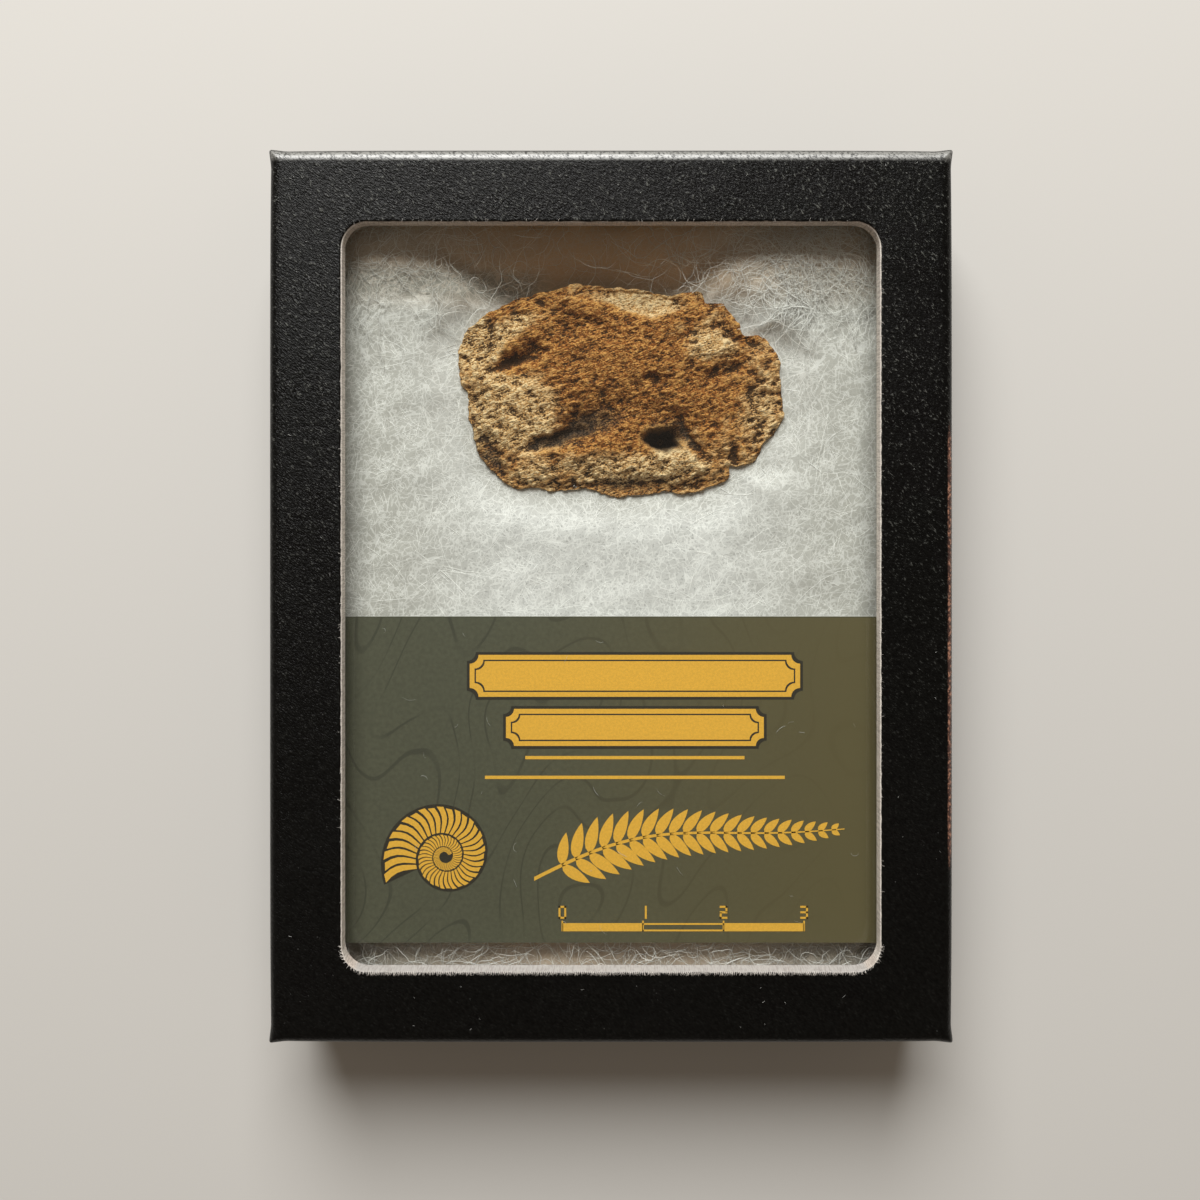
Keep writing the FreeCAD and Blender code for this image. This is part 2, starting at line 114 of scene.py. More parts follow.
class RIKER_PG_contents(bpy.types.PropertyGroup):
    """Sizes and colours of what the box holds."""

    strand: length("Strand", "Diameter of a fibre strand", 0.085)
    strand_reach: length("Strand length", "Longest fibre strand", 14.0)
    strands: bpy.props.IntProperty(
        name="Strands", description="Loose fibre strands on the batt", default=4600, min=10
    )
    fibre: colour("Fibre", "Polyester fibre", "#fafaf7")
    cream: colour("Bone, cream", "Weathered outer bone", "#d0a062")
    rust: colour("Bone, rust", "Iron-stained bone", "#94561d")
    # Umber is laid in the hollows and ash in the grooves, each also as painted shade.
    umber: colour("Bone, umber", "Deep stain in the hollows", "#35200c")
    ash: colour("Bone, ash", "Dark mineral in the grooves", "#2a2118")
    olive: colour("Card ground", "Printed ground of the card", "#4f5140")
    contour: colour("Card contour", "Map lines printed on the ground", "#3b3d30")
    gold: colour("Card gold", "Gold print of the card", "#e8b23c")


class RIKER_PG_stage(bpy.types.PropertyGroup):
    """The floor and the camera."""

    floor: colour("Floor", "Pale paper floor", "#c6c4c0")
    camera_height: length("Camera height", "Lens above the lid's face", 150.0)
    camera_ahead: length("Camera ahead", "Lens from the middle of the box, towards its head", 14.1)
    view_width: length("View width", "Width of the view at the lid's face", 144.6)


def settings(group):
    """The scene's settings of one group."""
    return getattr(bpy.context.scene, "riker_" + group)


# --- meshes -----------------------------------------------------------------------------------


def add_piece(name, points, faces, body, materials, replaces=(), smooth=True):
    """Makes a mesh piece that rides on a body and takes its finish from a slot."""
    mesh = bpy.data.meshes.new(name)
    mesh.from_pydata(np.asarray(points, float).reshape(-1, 3).tolist(), [], faces)
    mesh.validate()
    mesh.polygons.foreach_set("use_smooth", [smooth] * len(mesh.polygons))
    piece = bpy.data.objects.new(name, mesh)
    bpy.context.scene.collection.objects.link(piece)
    for material in materials:
        mesh.materials.append(material)
    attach(piece, body)
    if replaces:
        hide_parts(*replaces)
    return piece


def add_layer(piece, name, values):
    """Stores one number per vertex, for the materials to read."""
    layer = piece.data.attributes.new(name, "FLOAT", "POINT")
    layer.data.foreach_set("value", np.asarray(values, np.float32).ravel())


def weld(piece, reach=0.002 * MM):
    """Merges points that coincide and turns all faces outwards."""
    work = bmesh.new()
    work.from_mesh(piece.data)
    if reach:
        bmesh.ops.remove_doubles(work, verts=work.verts, dist=reach)
    bmesh.ops.recalc_face_normals(work, faces=work.faces)
    work.to_mesh(piece.data)
    work.free()


SIDE_STEPS = (250, 340)  # stations along a short and along a long side
CORNER_STEPS = 12


def rounded_loop(half_x, half_y, radius, z):
    """Points round a rectangle with rounded corners, anticlockwise from the foot's left end."""
    radius = min(radius, half_x, half_y)
    flat_x, flat_y = half_x - radius, half_y - radius
    centres = [(flat_x, -flat_y), (flat_x, flat_y), (-flat_x, flat_y), (-flat_x, -flat_y)]
    turns = [-90, 0, 90, 180]
    rows = []
    for side in range(4):
        start = np.array(centres[side - 1])
        end = np.array(centres[side])
        out = math.radians(turns[side])
        offset = radius * np.array([math.cos(out), math.sin(out)])
        share = np.linspace(0, 1, SIDE_STEPS[side % 2] + 1)[:, None]
        rows.append(start + (end - start) * share + offset)
        angle = np.radians(turns[side] + 90 * np.arange(1, CORNER_STEPS) / CORNER_STEPS)
        rows.append(end + radius * np.stack([np.cos(angle), np.sin(angle)], 1))
    flat = np.concatenate(rows)
    return np.column_stack([flat, np.full(len(flat), z)])


def bridge(rings, count, closed):
    """Quads between neighbouring rings of count points."""
    faces = []
    last = rings if closed else rings - 1
    along = np.arange(count)
    following = (along + 1) % count
    for ring in range(last):
        low, high = ring * count, ((ring + 1) % rings) * count
        faces.append(np.stack([low + along, low + following, high + following, high + along], 1))
    return np.concatenate(faces).tolist()


def arc(centre_u, centre_z, radius, start, end, steps):
    """(inset, height) points on an arc, angles in degrees from the inward direction."""
    angles = np.radians(np.linspace(start, end, steps))
    return [(centre_u + radius * math.cos(a), centre_z + radius * math.sin(a)) for a in angles]


def spread(start, end, steps):
    """(inset, height) points on a straight run, without its last point."""
    (from_u, from_z), (to_u, to_z) = start, end
    share = np.linspace(0, 1, steps, endpoint=False)
    return [(from_u + (to_u - from_u) * s, from_z + (to_z - from_z) * s) for s in share]


def shell_points(half_x, half_y, profile, corner):
    """One rounded loop for each (inset, height) of a profile; corner(inset) is its radius."""
    return np.stack([rounded_loop(half_x - u, half_y - u, corner(u), z) for u, z in profile])


def ripple(points, size, seed):
    """Smooth noise from -1 to 1 at each point, with features of the given size."""
    shift = Vector((seed * 17.3, seed * 5.1, seed * 9.7))
    return np.array([noise.noise(Vector(p) / size + shift) for p in points.reshape(-1, 3)])


def ease(x):
    """A smooth step from 0 to 1."""
    x = np.clip(x, 0, 1)
    return x * x * (3 - 2 * x)


# --- materials --------------------------------------------------------------------------------

# The setting that says what each kind of node does, and what it is where none is asked for.
MODE_OF = {
    "Attribute": ("attribute_name", ""),
    "MapRange": ("interpolation_type", "SMOOTHSTEP"),
    "Mapping": ("vector_type", "TEXTURE"),
    "Math": ("operation", "ADD"),
    "Mix": ("data_type", "RGBA"),
}


def add_node(tree, kind, sources=(), mode=None, output=0):
    """Adds a node in a mode, fills its inputs and returns one of its outputs.

    sources holds the inputs in order, or by name or number: numbers, colours or other nodes'
    outputs.
    """
    made = tree.nodes.new("ShaderNode" + kind)
    if kind in MODE_OF:
        setting, usual = MODE_OF[kind]
        setattr(made, setting, mode or usual)
    keyed = sources if isinstance(sources, dict) else dict(enumerate(sources))
    for key, source in keyed.items():
        socket = made.inputs[key]
        if isinstance(source, bpy.types.NodeSocket):
            tree.links.new(source, socket)
        else:
            socket.default_value = (*source, 1.0) if socket.type == "RGBA" else source
    return made.outputs[output] if made.outputs else None


def blank_material(name):
    """A material with an empty node tree, and the function that adds a node to that tree."""
    material = bpy.data.materials.new(name)
    material.use_nodes = True
    material.node_tree.nodes.clear()
    return material, functools.partial(add_node, material.node_tree)


def dimmed(tint, share):
    """A colour with a share of its light."""
    return tuple(c * share for c in tint)


def space_of(node, size_mm, turn=0.0):
    """Coordinates in which a size, or one for each axis, turned about the vertical, is one."""
    sources = {
        "Vector": node("TexCoord", output="Object"),
        "Scale": np.broadcast_to(size_mm, 3) * MM,
        "Rotation": (0, 0, math.radians(turn)),
    }
    return node("Mapping", sources)


def patterns(node, *rows):
    """Random patterns, one for each row of feature size in mm, detail, roughness and turn."""
    made = []
    for size_mm, detail, rough, *turn in rows:
        sources = {"Scale": 1.0, "Detail": detail, "Roughness": rough}
        made.append(node("TexNoise", sources | {"Vector": space_of(node, size_mm, *turn)}))
    return made


def coated(node, ground, *coats):
    """Lays coats of colour over a ground, one after another.

    A coat is a source and a colour.  Between the two may stand the range of the source over
    which the coat comes in, and the shares that it has at the ends of that range.
    """
    for source, *reach, tint in coats:
        share = node("MapRange", (source, *reach)) if reach else source
        ground = node("Mix", {0: share, 6: ground, 7: tint}, output=2)
    return ground


def finish_surface(node, tint, rough, height=None, depth_mm=0.0, **others):
    """Closes a material with a principled surface, over a bump of a real depth if it has one."""
    sources = {"Base Color": tint, "Roughness": rough}
    sources |= {key.replace("_", " "): value for key, value in others.items()}
    if height is not None:
        bump = {"Strength": 1.0, "Distance": depth_mm * MM, "Height": height}
        sources["Normal"] = node("Bump", bump)
    node("OutputMaterial", {"Surface": node("BsdfPrincipled", sources)})


def leatherette_material():
    """Leatherette paper: black pulp paper, calendered with a slanting leather grain and sized.

    The size gives a dull shine that breaks up on the grain, more where the paper is burnished
    over a fold; rubbed edges show the brown pulp, and the deep black holds pale dust.
    """
    box = settings("box")
    material, node = blank_material("black_leatherette_paper")
    layers = ("wear", "fold", "rubbed")
    wear, fold, rubbed = (node("Attribute", (), layer, "Fac") for layer in layers)
    streaks, creases, cloud, motes, scuff, nicks = patterns(
        node,
        ((0.15, 0.36, 0.3), 2.0, 0.6, 52),
        ((0.38, 0.66, 0.6), 2.0, 0.5, 36),
        (14, 3.0, 0.6),
        (0.3, 1.0, 0.6),
        (1.1, 6.0, 0.7),
        (0.5, 4.0, 0.6),
    )
    grain = node("Math", (creases, 0.6, streaks), "MULTIPLY_ADD")
    crest = node("MapRange", (grain, 0.93, 1.06))
    # Painted glints: the grain's crests are painted paler, more towards the lamp at the head.
    fleck = node("Math", (crest, node("Math", (rubbed, 0.05))), "MULTIPLY")
    # Painted highlight: the crests over the head's fold are painted pale grey.
    fold_crest = node("MapRange", (grain, 0.62, 0.86, 0.2, 0.9))
    fold_highlight = node("Math", (fold, fold_crest), "MULTIPLY")
    torn = node("Math", (scuff, 0.7, wear), "MULTIPLY_ADD")
    pulp = coated(node, linear("#46302a"), (nicks, 0.46, 0.66, box.worn))
    # Dust is the rare peaks of a fine pattern, in patches.
    peaks = node("MapRange", (motes, 0.785, 0.84))
    dusty = node("MapRange", (cloud, 0.42, 0.6, 0.0, 0.6))
    body = coated(
        node,
        linear("#020202"),
        (grain, 0.62, 0.9, box.black),
        # Painted glints on the crests, and a painted highlight over the head's fold.
        (fleck, linear("#565753")),
        (fold_highlight, linear("#83837f")),
        (torn, 0.85, 1.3, pulp),
        (node("Math", (peaks, dusty), "MULTIPLY"), linear("#a9a9a6")),
    )
    rough = node("MapRange", (cloud, 0.3, 0.7, 0.28, 0.35))
    # Over a fold the paper is stretched, so its grain is shallower and the size lies smooth.
    shallower = node("Math", (fold, -0.6, 1.0), "MULTIPLY_ADD")
    depth = node("Math", (grain, shallower), "MULTIPLY")
    smoothed = node("MapRange", (grain, 0.6, 0.85, 0.1, 0.6))
    burnish = node("Math", (fold, smoothed), "MULTIPLY")
    size_coat = {"Coat_Weight": burnish, "Coat_Roughness": 0.4, "Coat_IOR": 2.0}
    finish_surface(node, body, rough, depth, 0.09, IOR=1.27, **size_coat)
    return material


def raw_board_material(name, body, shade, fuzz_mm):
    """Greyboard: pressed waste pulp, knife-cut, so its edge is matt and woolly with fibre."""
    material, node = blank_material(name)
    plies, fleck = patterns(node, ((0.9, 0.9, 0.12), 4.0, 0.65), (0.35, 5.0, 0.7))
    tint = coated(node, shade, (plies, 0.35, 0.65, body), (fleck, 0.6, 0.75, 0.0, 0.5, shade))
    height = node("Math", (plies, fleck))
    finish_surface(node, tint, 0.92, height, fuzz_mm, IOR=1.45)
    return material


def cut_edge_material():
    """Knife-cut greyboard round the window: woolly, streaked down the cut, dusty at the foot."""
    material, node = blank_material("greyboard_cut_edge")
    streak, fleck = patterns(node, ((0.15, 0.15, 1.6), 3.0, 0.6), (0.35, 3.0, 0.6))
    # Places in decimetres from the middle of the window.
    across, ahead, _ = node("SeparateXYZ", (space_of(node, 100),)).node.outputs
    tint = coated(
        node,
        settings("box").raw,
        # Painted light: the side walls, which the lamp barely reaches, are painted paler.
        (node("Math", (across,), "ABSOLUTE"), 0.318, 0.323, linear("#dcd5cc")),
        # Painted shade: the foot wall, which faces the lamp, is painted darker.
        (ahead, -0.45, -0.446, 1.0, 0.0, linear("#aaa6a2")),
        (streak, 0.38, 0.56, 0.4, 0.0, linear("#6e655e")),
    )
    height = node("Math", (streak, fleck))
    finish_surface(node, tint, 0.92, height, 0.035, IOR=1.45)
    return material


def plain_paper_material(name, body):
    """Uncoated paper: matt, faintly mottled by its formation, with a fine felt-side tooth."""
    material, node = blank_material(name)
    mottle, tooth = patterns(node, (1.6, 4.0, 0.5), (0.16, 3.0, 0.7))
    tint = coated(node, dimmed(body, 0.86), (mottle, 0.35, 0.65, body))
    finish_surface(node, tint, 0.85, tooth, 0.02, IOR=1.5)
    return material


def glass_material():
    """Float glass: clear and fire-polished, with a thin sharp reflection and a faint green cast."""
    material, node = blank_material("clear_float_glass")
    clear = node("BsdfTransparent", {"Color": (0.975, 0.985, 0.978)})
    (smear,) = patterns(node, ((22, 9, 22), 3.0, 0.5, 20))
    rough = node("MapRange", (smear, 0.35, 0.7, 0.02, 0.09))
    gloss = node("BsdfGlossy", {"Color": (1, 1, 1), "Roughness": rough})
    # Four percent head on and more at a slant, the same from either side of the pane.
    slant = node("LayerWeight", {"Blend": 0.5}, output="Facing")
    steep = node("Math", (slant, 5.0), "POWER")
    share = node("Math", (steep, 0.96, 0.04), "MULTIPLY_ADD")
    node("OutputMaterial", {"Surface": node("MixShader", (share, clear, gloss))})
    return material


def fibre_material(name, matted):
    """Polyester staple, crimped and carded into a batt: white, dull, soft light through it.

    The batt itself shows a web of fine threads with dark pores between them.  Where it is thin
    the brown board behind it shows through.
    """
    full = settings("contents").fibre
    material, node = blank_material(name)
    # The first layer is painted warm shade, the second painted grey shade.
    thin, slack = (node("Attribute", (), layer, "Fac") for layer in ("thin", "slack"))

    def shaded(tint, warm_shaded, grey_shaded):
        """A colour of the fibre, browned where it is thin and greyed where it lies slack."""
        brown = node("Math", (thin, warm_shaded), "MULTIPLY")
        grey = node("Math", (slack, grey_shaded), "MULTIPLY")
        return coated(node, tint, (brown, linear("#e6c39c")), (grey, linear("#a19f96")))

    if not matted:
        finish_surface(node, shaded(full, 1.0, 1.0), 0.6, IOR=1.4)
        return material
    # Each thread is a level line of a drawn-out pattern; five turned sets of them cross.
    web = 0.0
    for number, turn in enumerate((10, 47, 84, 119, 155)):
        size_mm = (3.5 - 0.34 * number, 0.9 + 0.13 * number, 3.0)
        (wander,) = patterns(node, (size_mm, 1.0, 0.5, turn))
        off = node("Math", (node("Math", (wander, 0.5), "SUBTRACT"),), "ABSOLUTE")
        thread = node("MapRange", (off, 0.004, 0.02, 0.75, 0.0))
        web = node("Math", (web, thread), "MAXIMUM")
    # Painted shade: the mass between the threads is darker than the fibre, and its pores darker
    # still, as the shade in the batt's depth.
    pore_shade, patches, tufts = patterns(
        node,
        ((0.26, 0.23, 0.26), 2.0, 0.5),
        (6, 3.0, 0.5),
        ((1.3, 1.1, 1.3), 3.0, 0.5),
    )
    mass = coated(
        node,
        dimmed(full, 0.59),
        (node("Math", (patches, tufts)), 0.7, 1.3, dimmed(full, 0.65)),
        (pore_shade, 0.57, 0.68, 0.0, 0.62, dimmed(full, 0.27)),
    )
    tint = coated(node, shaded(mass, 1.0, 1.15), (web, shaded(dimmed(full, 0.82), 0.7, 0.4)))
    finish_surface(node, tint, 0.6, IOR=1.4)
    return material


def bone_material():
    """Fossil bone: mineralised, iron-stained and broken, so it is matt, grainy and patchy.

    The stain and the dark mineral follow the hollows; the raised grain is rubbed pale, and the
    bone's own fibres run along it, rising to the right.
    """
    held = settings("contents")
    material, node = blank_material("permineralised_bone")
    layers = ("stain", "soot", "cavity")
    stain, soot, cavity = (node("Attribute", (), layer, "Fac") for layer in layers)
    blotch, mottle, fibres, speck, chips, grit = patterns(
        node,
        ((2.4, 1.8, 2.0), 6.0, 0.66, 20),
        ((1.3, 0.8, 1.0), 5.0, 0.66, 20),
        ((0.95, 0.22, 0.5), 3.0, 0.66, 20),
        ((0.24, 0.19, 0.2), 1.5, 0.66, -10),
        ((0.55, 0.4, 0.5), 1.0, 0.66, 40),
        ((0.5, 0.17, 0.3), 2.0, 0.66, 16),
    )
    grain = node("Math", (fibres, 0.8, node("Math", (speck, 0.7), "MULTIPLY")), "MULTIPLY_ADD")
    patch = node("Math", (blotch, 1.6, node("Math", (stain, grain))), "MULTIPLY_ADD")
    rusty = node("MapRange", (patch, 1.6, 2.2))
    pale = coated(node, linear("#f8dcaa"), (rusty, linear("#d9a25a")))
    proud = node("Math", (cavity, -0.3, grain), "MULTIPLY_ADD")
    sunk_stain_and_shade = node("Math", (node("Math", (cavity, 0.45), "MULTIPLY"), grain), "SUBTRACT")
    ash = coated(node, dimmed(held.ash, 0.4), (speck, 0.42, 0.62, linear("#54473a")))
    caught_and_shaded = node("Math", (grain, -1.2, soot), "MULTIPLY_ADD")
    tint = coated(
        node,
        held.cream,
        (rusty, held.rust),
        # Rubbed grain and chips: pale where the surface stands up.
        (proud, 0.76, 0.89, 0.0, 0.95, pale),
        (chips, 0.69, 0.75, 0.0, 0.6, linear("#d8b47c")),
        (mottle, 0.53, 0.69, 0.0, 0.6, linear("#472810")),
        (grit, 0.52, 0.64, 0.0, 0.7, linear("#4a2b12")),
        (grit, 0.36, 0.47, 0.8, 0.0, pale),
        # Stain and painted shade in the hollows, and dark mineral and painted shade in the grooves.
        (sunk_stain_and_shade, -0.72, -0.6, 0.0, 0.95, held.umber),
        (caught_and_shaded, -0.66, 0.3, 0.0, 0.85, ash),
    )
    height = node("Math", (chips, 0.4, grain), "MULTIPLY_ADD")
    finish_surface(node, tint, 0.95, height, 0.42, IOR=1.35)
    return material


def card_material():
    """Coated card, digitally printed: a flat olive ground with faint map lines and a low sheen."""
    held = settings("contents")
    material, node = blank_material("printed_card_stock")
    land, fade, mottle = patterns(
        node,
        ((17, 30, 17), 1.2, 0.35, -18),
        (8, 2.0, 0.5),
        (0.5, 4.0, 0.6),
    )
    # A map line follows each level of the land, and fades in and out.
    bands = node("Math", (node("Math", (land, 15.0), "MULTIPLY"),), "FRACT")
    off = node("Math", (node("Math", (bands, 0.5), "SUBTRACT"),), "ABSOLUTE")
    line = node("MapRange", (off, 0.03, 0.06, 1.0, 0.0))
    faded = node("MapRange", (fade, 0.38, 0.52, 0.25, 1.0))
    # Places in card widths from the middle of the box.
    across, ahead, _ = node("SeparateXYZ", (space_of(node, 70),)).node.outputs
    tint = coated(
        node,
        dimmed(held.olive, 0.78),
        (mottle, 0.3, 0.7, held.olive),
        (node("Math", (line, faded), "MULTIPLY"), held.contour),
        # The print warms towards the right-hand edge.
        (across, -0.3, 0.55, 0.0, 0.9, linear("#5b5230")),
        # A darker line of the contour colour runs along the head of the card.
        (ahead, -0.0432, -0.0418, 0.0, 0.6, held.contour),
    )
    finish_surface(node, tint, 0.5, mottle, 0.006, IOR=1.5)
    return material


def ink_material(name, body):
    """Toner: a solid printed colour with a slight satin and a speckle of missed dots."""
    material, node = blank_material(name)
    (dots,) = patterns(node, (0.28, 3.0, 0.5))
    tint = coated(node, dimmed(body, 0.9), (dots, 0.35, 0.65, body))
    finish_surface(node, tint, 0.5, dots, 0.004, IOR=1.5)
    return material


# --- pieces -----------------------------------------------------------------------------------

RIM_FOLD = 0.25 * MM  # outside radius of the papers where they fold over a rim


def lid_corner(inset):
    """Corner radius of the lid's paper at an inset from its outside."""
    box = settings("box")
    start, wide = 0.35 * MM, box.window_radius + box.window_setback
    share = max(0.0, (inset - box.lid_fold) / (box.border - box.window_setback - box.lid_fold))
    return start + (wide - start) * share


def shape_lid_sides(points, half_x, half_y, top):
    """Bows the sides a little, pulls the folded corners out and raises the mitre over them."""
    box = settings("box")
    x, y, z = points[:, 0].copy(), points[:, 1].copy(), points[:, 2]
    from_x, from_y = half_x - np.abs(x), half_y - np.abs(y)
    near_x, near_y = (ease(1 - gap / (2.2 * MM)) for gap in (from_x, from_y))
    tip = box.corner_tip * near_x * near_y * ease((z - top + 9 * MM) / (9 * MM))
    mitre = np.exp(-(((from_x - from_y) / (0.3 * MM)) ** 2))
    points[:, 2] += np.where(z > top - 1.6 * MM, 0.1 * MM * mitre * near_x * near_y, 0)
    bowed_x = box.bow * near_x * (1 - (y / half_y) ** 6)
    bowed_y = box.bow * near_y * (1 - (x / half_x) ** 6)
    points[:, 0] += np.sign(x) * (0.75 * tip + bowed_x)
    points[:, 1] += np.sign(y) * (0.75 * tip + bowed_y)


def lap_flaps(points, half_x, half_y, from_fold, side_depth, start, lean, thick):
    """Raises the glued corner flaps: a second layer of paper on the ends, cut on a slant."""
    x, y = points[:, 0], points[:, 1]
    on_end = (half_y - np.abs(y) < side_depth) & (from_fold > 0)
    past_cut = start + lean * from_fold - (half_x - np.abs(x))
    points[:, 1] += np.sign(y) * np.where(on_end, thick * ease(past_cut / (0.3 * MM)), 0)


def edge_wear(points, half_x, half_y, top, fold):
    """How much each point of the paper is rubbed, most along folds, corners and the right side."""
    x, y, z = points[:, 0], points[:, 1], points[:, 2]
    from_x, from_y = half_x - np.abs(x), half_y - np.abs(y)
    rim = 1 - np.minimum(from_x, from_y) / fold
    on_fold = np.exp(-(((rim - 0.75) / 0.3) ** 2)) * ease((z - top + 2.2 * fold) / fold)
    corner = ease(1 - np.hypot(from_x, from_y) / (5 * MM))
    right = ease((x - half_x + 2.5 * MM) / (2.5 * MM))
    right *= ease((30 * MM - np.abs(y + 6 * MM)) / (7 * MM))
    return on_fold * (0.3 + 0.2 * corner + 0.85 * right)


def build_lid_board():
    """The lid's board: folded blank whose rough cut edge shows all round the window."""
    box = settings("box")
    half_x, half_y, top, rim = LID_HIGH.x, LID_HIGH.y, LID_HIGH.z, LID_LOW.z
    glue = 0.01 * MM
    skin, under = top - box.paper - glue, top - box.paper - box.lid_board
    outer, inner = box.paper + glue, box.paper + box.lid_board
    fold, low = box.lid_fold - outer, rim + outer
    cut_rings, corner_end = 12, 2.5 * MM
    profile = spread((box.border, skin), (box.border, under), cut_rings)
    profile += spread((box.border, under), (inner, under), 8)
    profile += spread((inner, under), (inner, low), 6)
    profile += spread((inner, low), (outer, low), 3)
    profile += spread((outer, low), (outer, top - box.lid_fold), 5)
    profile += arc(box.lid_fold, top - box.lid_fold, fold, 180, 90, 6)
    profile += spread((box.lid_fold + MM, skin), (box.border, skin), 6)

    def corner(inset):
        """Corner radius of the board at an inset: square outside, round at the window."""
        share = max(0.0, (inset - corner_end) / (box.border - corner_end))
        return 0.5 * MM + (box.window_radius - 0.5 * MM) * share

    points = shell_points(half_x, half_y, profile, corner)
    wall = points[:cut_rings]
    flat = wall.reshape(-1, 3)
    # The knife tore the pulp: long tears down the cut, and shorter ones between them.
    torn = ripple(flat * [1, 1, 3.5], 0.35 * MM, 1) + 0.6 * ripple(flat * [1, 1, 2], 0.9 * MM, 2)
    depth = np.linspace(0, 1, cut_rings)[:, None] * np.ones(wall.shape[1])
    bite = 0.045 * MM * torn.reshape(wall.shape[:2]) * (0.4 + 0.6 * ease(depth * 3))
    inward = -flat[:, :2] / np.linalg.norm(flat[:, :2] / [half_x, half_y], axis=1)[:, None]
    inward /= np.linalg.norm(inward, axis=1)[:, None]
    wall[:, :, :2] += (inward * bite.reshape(-1, 1)).reshape(*wall.shape[:2], 2)
    faces = bridge(len(profile), points.shape[1], True)
    look = [cut_edge_material()]
    piece = add_piece("lid_board_blank", points, faces, "lid", look, ["lid_board"])
    weld(piece)


def build_lid_paper():
    """The lid's covering paper, with its window, folds, corner tips, flaps and turned-in edge."""
    box = settings("box")
    half_x, half_y, top, rim = LID_HIGH.x, LID_HIGH.y, LID_HIGH.z, LID_LOW.z
    paper, fold = box.paper, box.lid_fold
    window = box.border - box.window_setback
    inner = 2 * paper + box.lid_board
    head, turn_in, edge = top - fold, rim + box.lid_turn_in, RIM_FOLD
    profile = [(window, top - paper), (window, top - 0.4 * paper), (window - 0.05 * MM, top)]
    profile += spread((window - 0.2 * MM, top), (fold + 0.1 * MM, top), 16)
    profile += arc(fold, head, fold, 90, 180, 11)
    profile += spread((0, head - 0.5 * MM), (0, rim + edge), 16)
    profile += arc(edge, rim + edge, edge, 180, 270, 5)
    profile += spread((0.6 * MM, rim), (inner - edge, rim), 3)
    profile += arc(inner - edge, rim + edge, edge, 270, 360, 5)
    profile += spread((inner, rim + 0.6 * MM), (inner, turn_in), 5)
    profile += [(inner, turn_in), (inner - paper, turn_in), (inner - paper, rim + paper)]
    profile += [(paper, rim + paper), (paper, head)]
    profile += arc(fold, head, fold - paper, 180, 90, 6)

    rings = []
    for inset, z in profile:
        radius = lid_corner(inset) if z > head else 0.35 * MM
        rings.append(rounded_loop(half_x - inset, half_y - inset, radius, z))
    points = np.stack(rings)
    # The cut edge of the window frays: the first rings wander along the board.
    for ring, share in ((0, 1.0), (1, 1.0), (2, 0.8), (3, 0.25)):
        row = points[ring]
        wander = 0.07 * MM * ripple(row, 0.9 * MM, 3) + 0.06 * MM * ripple(row, 0.3 * MM, 4)
        away = row[:, :2] / np.linalg.norm(row[:, :2], axis=1)[:, None]
        row[:, :2] += away * (share * wander)[:, None]
    flat = points.reshape(-1, 3)
    shape_lid_sides(flat, half_x, half_y, top)
    lap_flaps(flat, half_x, half_y, head - flat[:, 2], 0.35 * MM, 2.5 * MM, 0.45, 0.09 * MM)
    swell = 0.03 * MM * (ripple(flat, 6 * MM, 5) - 1)
    flat[:, 2] += np.where(flat[:, 2] > top - 0.1 * MM, swell, 0)
    faces = bridge(len(profile), points.shape[1], True)
    slot, look = "black_leatherette", [leatherette_material()]
    piece = add_piece("lid_covering_paper", flat, faces, "lid", look, ["lid_wrap"])
    add_layer(piece, "wear", edge_wear(flat, half_x, half_y, top, fold))
    inset, rise = (half_y - flat[:, 1]) / fold, (flat[:, 2] - head) / fold
    add_layer(piece, "fold", ease((1.0 - inset) / 0.4) * ease((rise - 0.45) / 0.3))
    # Painted glints: their share grows from the foot to the head, where the lamp stands.
    add_layer(piece, "rubbed", ease((flat[:, 1] + 34 * MM) / (84 * MM)))


def build_tray_paper():
    """The tray's covering paper: floor, folded edges, sides, rim and turned-in edge."""
    box = settings("box")
    half_x, half_y, top = TRAY_HIGH.x, TRAY_HIGH.y, TRAY_HIGH.z
    paper, fold = box.paper, box.tray_fold
    inner = 2 * paper + box.tray_board
    middle, turn_in, edge = half_x - 0.001 * MM, top - box.tray_turn_in, RIM_FOLD
    profile = spread((middle, 0), (fold, 0), 12)
    profile += arc(fold, fold, fold, 270, 180, 8)
    profile += spread((0, fold + 0.5 * MM), (0, top - 0.3 * MM), 10)
    profile += arc(edge, top - edge, edge, 180, 90, 5)
    profile += spread((0.5 * MM, top), (inner - edge, top), 3)
    profile += arc(inner - edge, top - edge, edge, 90, 0, 5)
    profile += [(inner, top - 2 * MM), (inner, turn_in), (inner - paper, turn_in)]
    profile += [(inner - paper, top - paper), (paper, top - paper), (paper, fold)]
    profile += arc(fold, fold, fold - paper, 180, 270, 5)
    profile += spread((fold + MM, paper), (middle, paper), 4) + [(middle, paper)]
    points = shell_points(half_x, half_y, profile, lambda inset: 0.4 * MM)
    flat = points.reshape(-1, 3)
    lap_flaps(flat, half_x, half_y, flat[:, 2] - fold, 0.1 * MM, 2 * MM, 0.5, 0.07 * MM)
    faces = bridge(len(profile), points.shape[1], False)
    slot, look = "black_leatherette", [bpy.data.materials["black_leatherette_paper"]]
    piece = add_piece("tray_covering_paper", flat, faces, "tray", look, ["tray_wrap"])
    weld(piece)


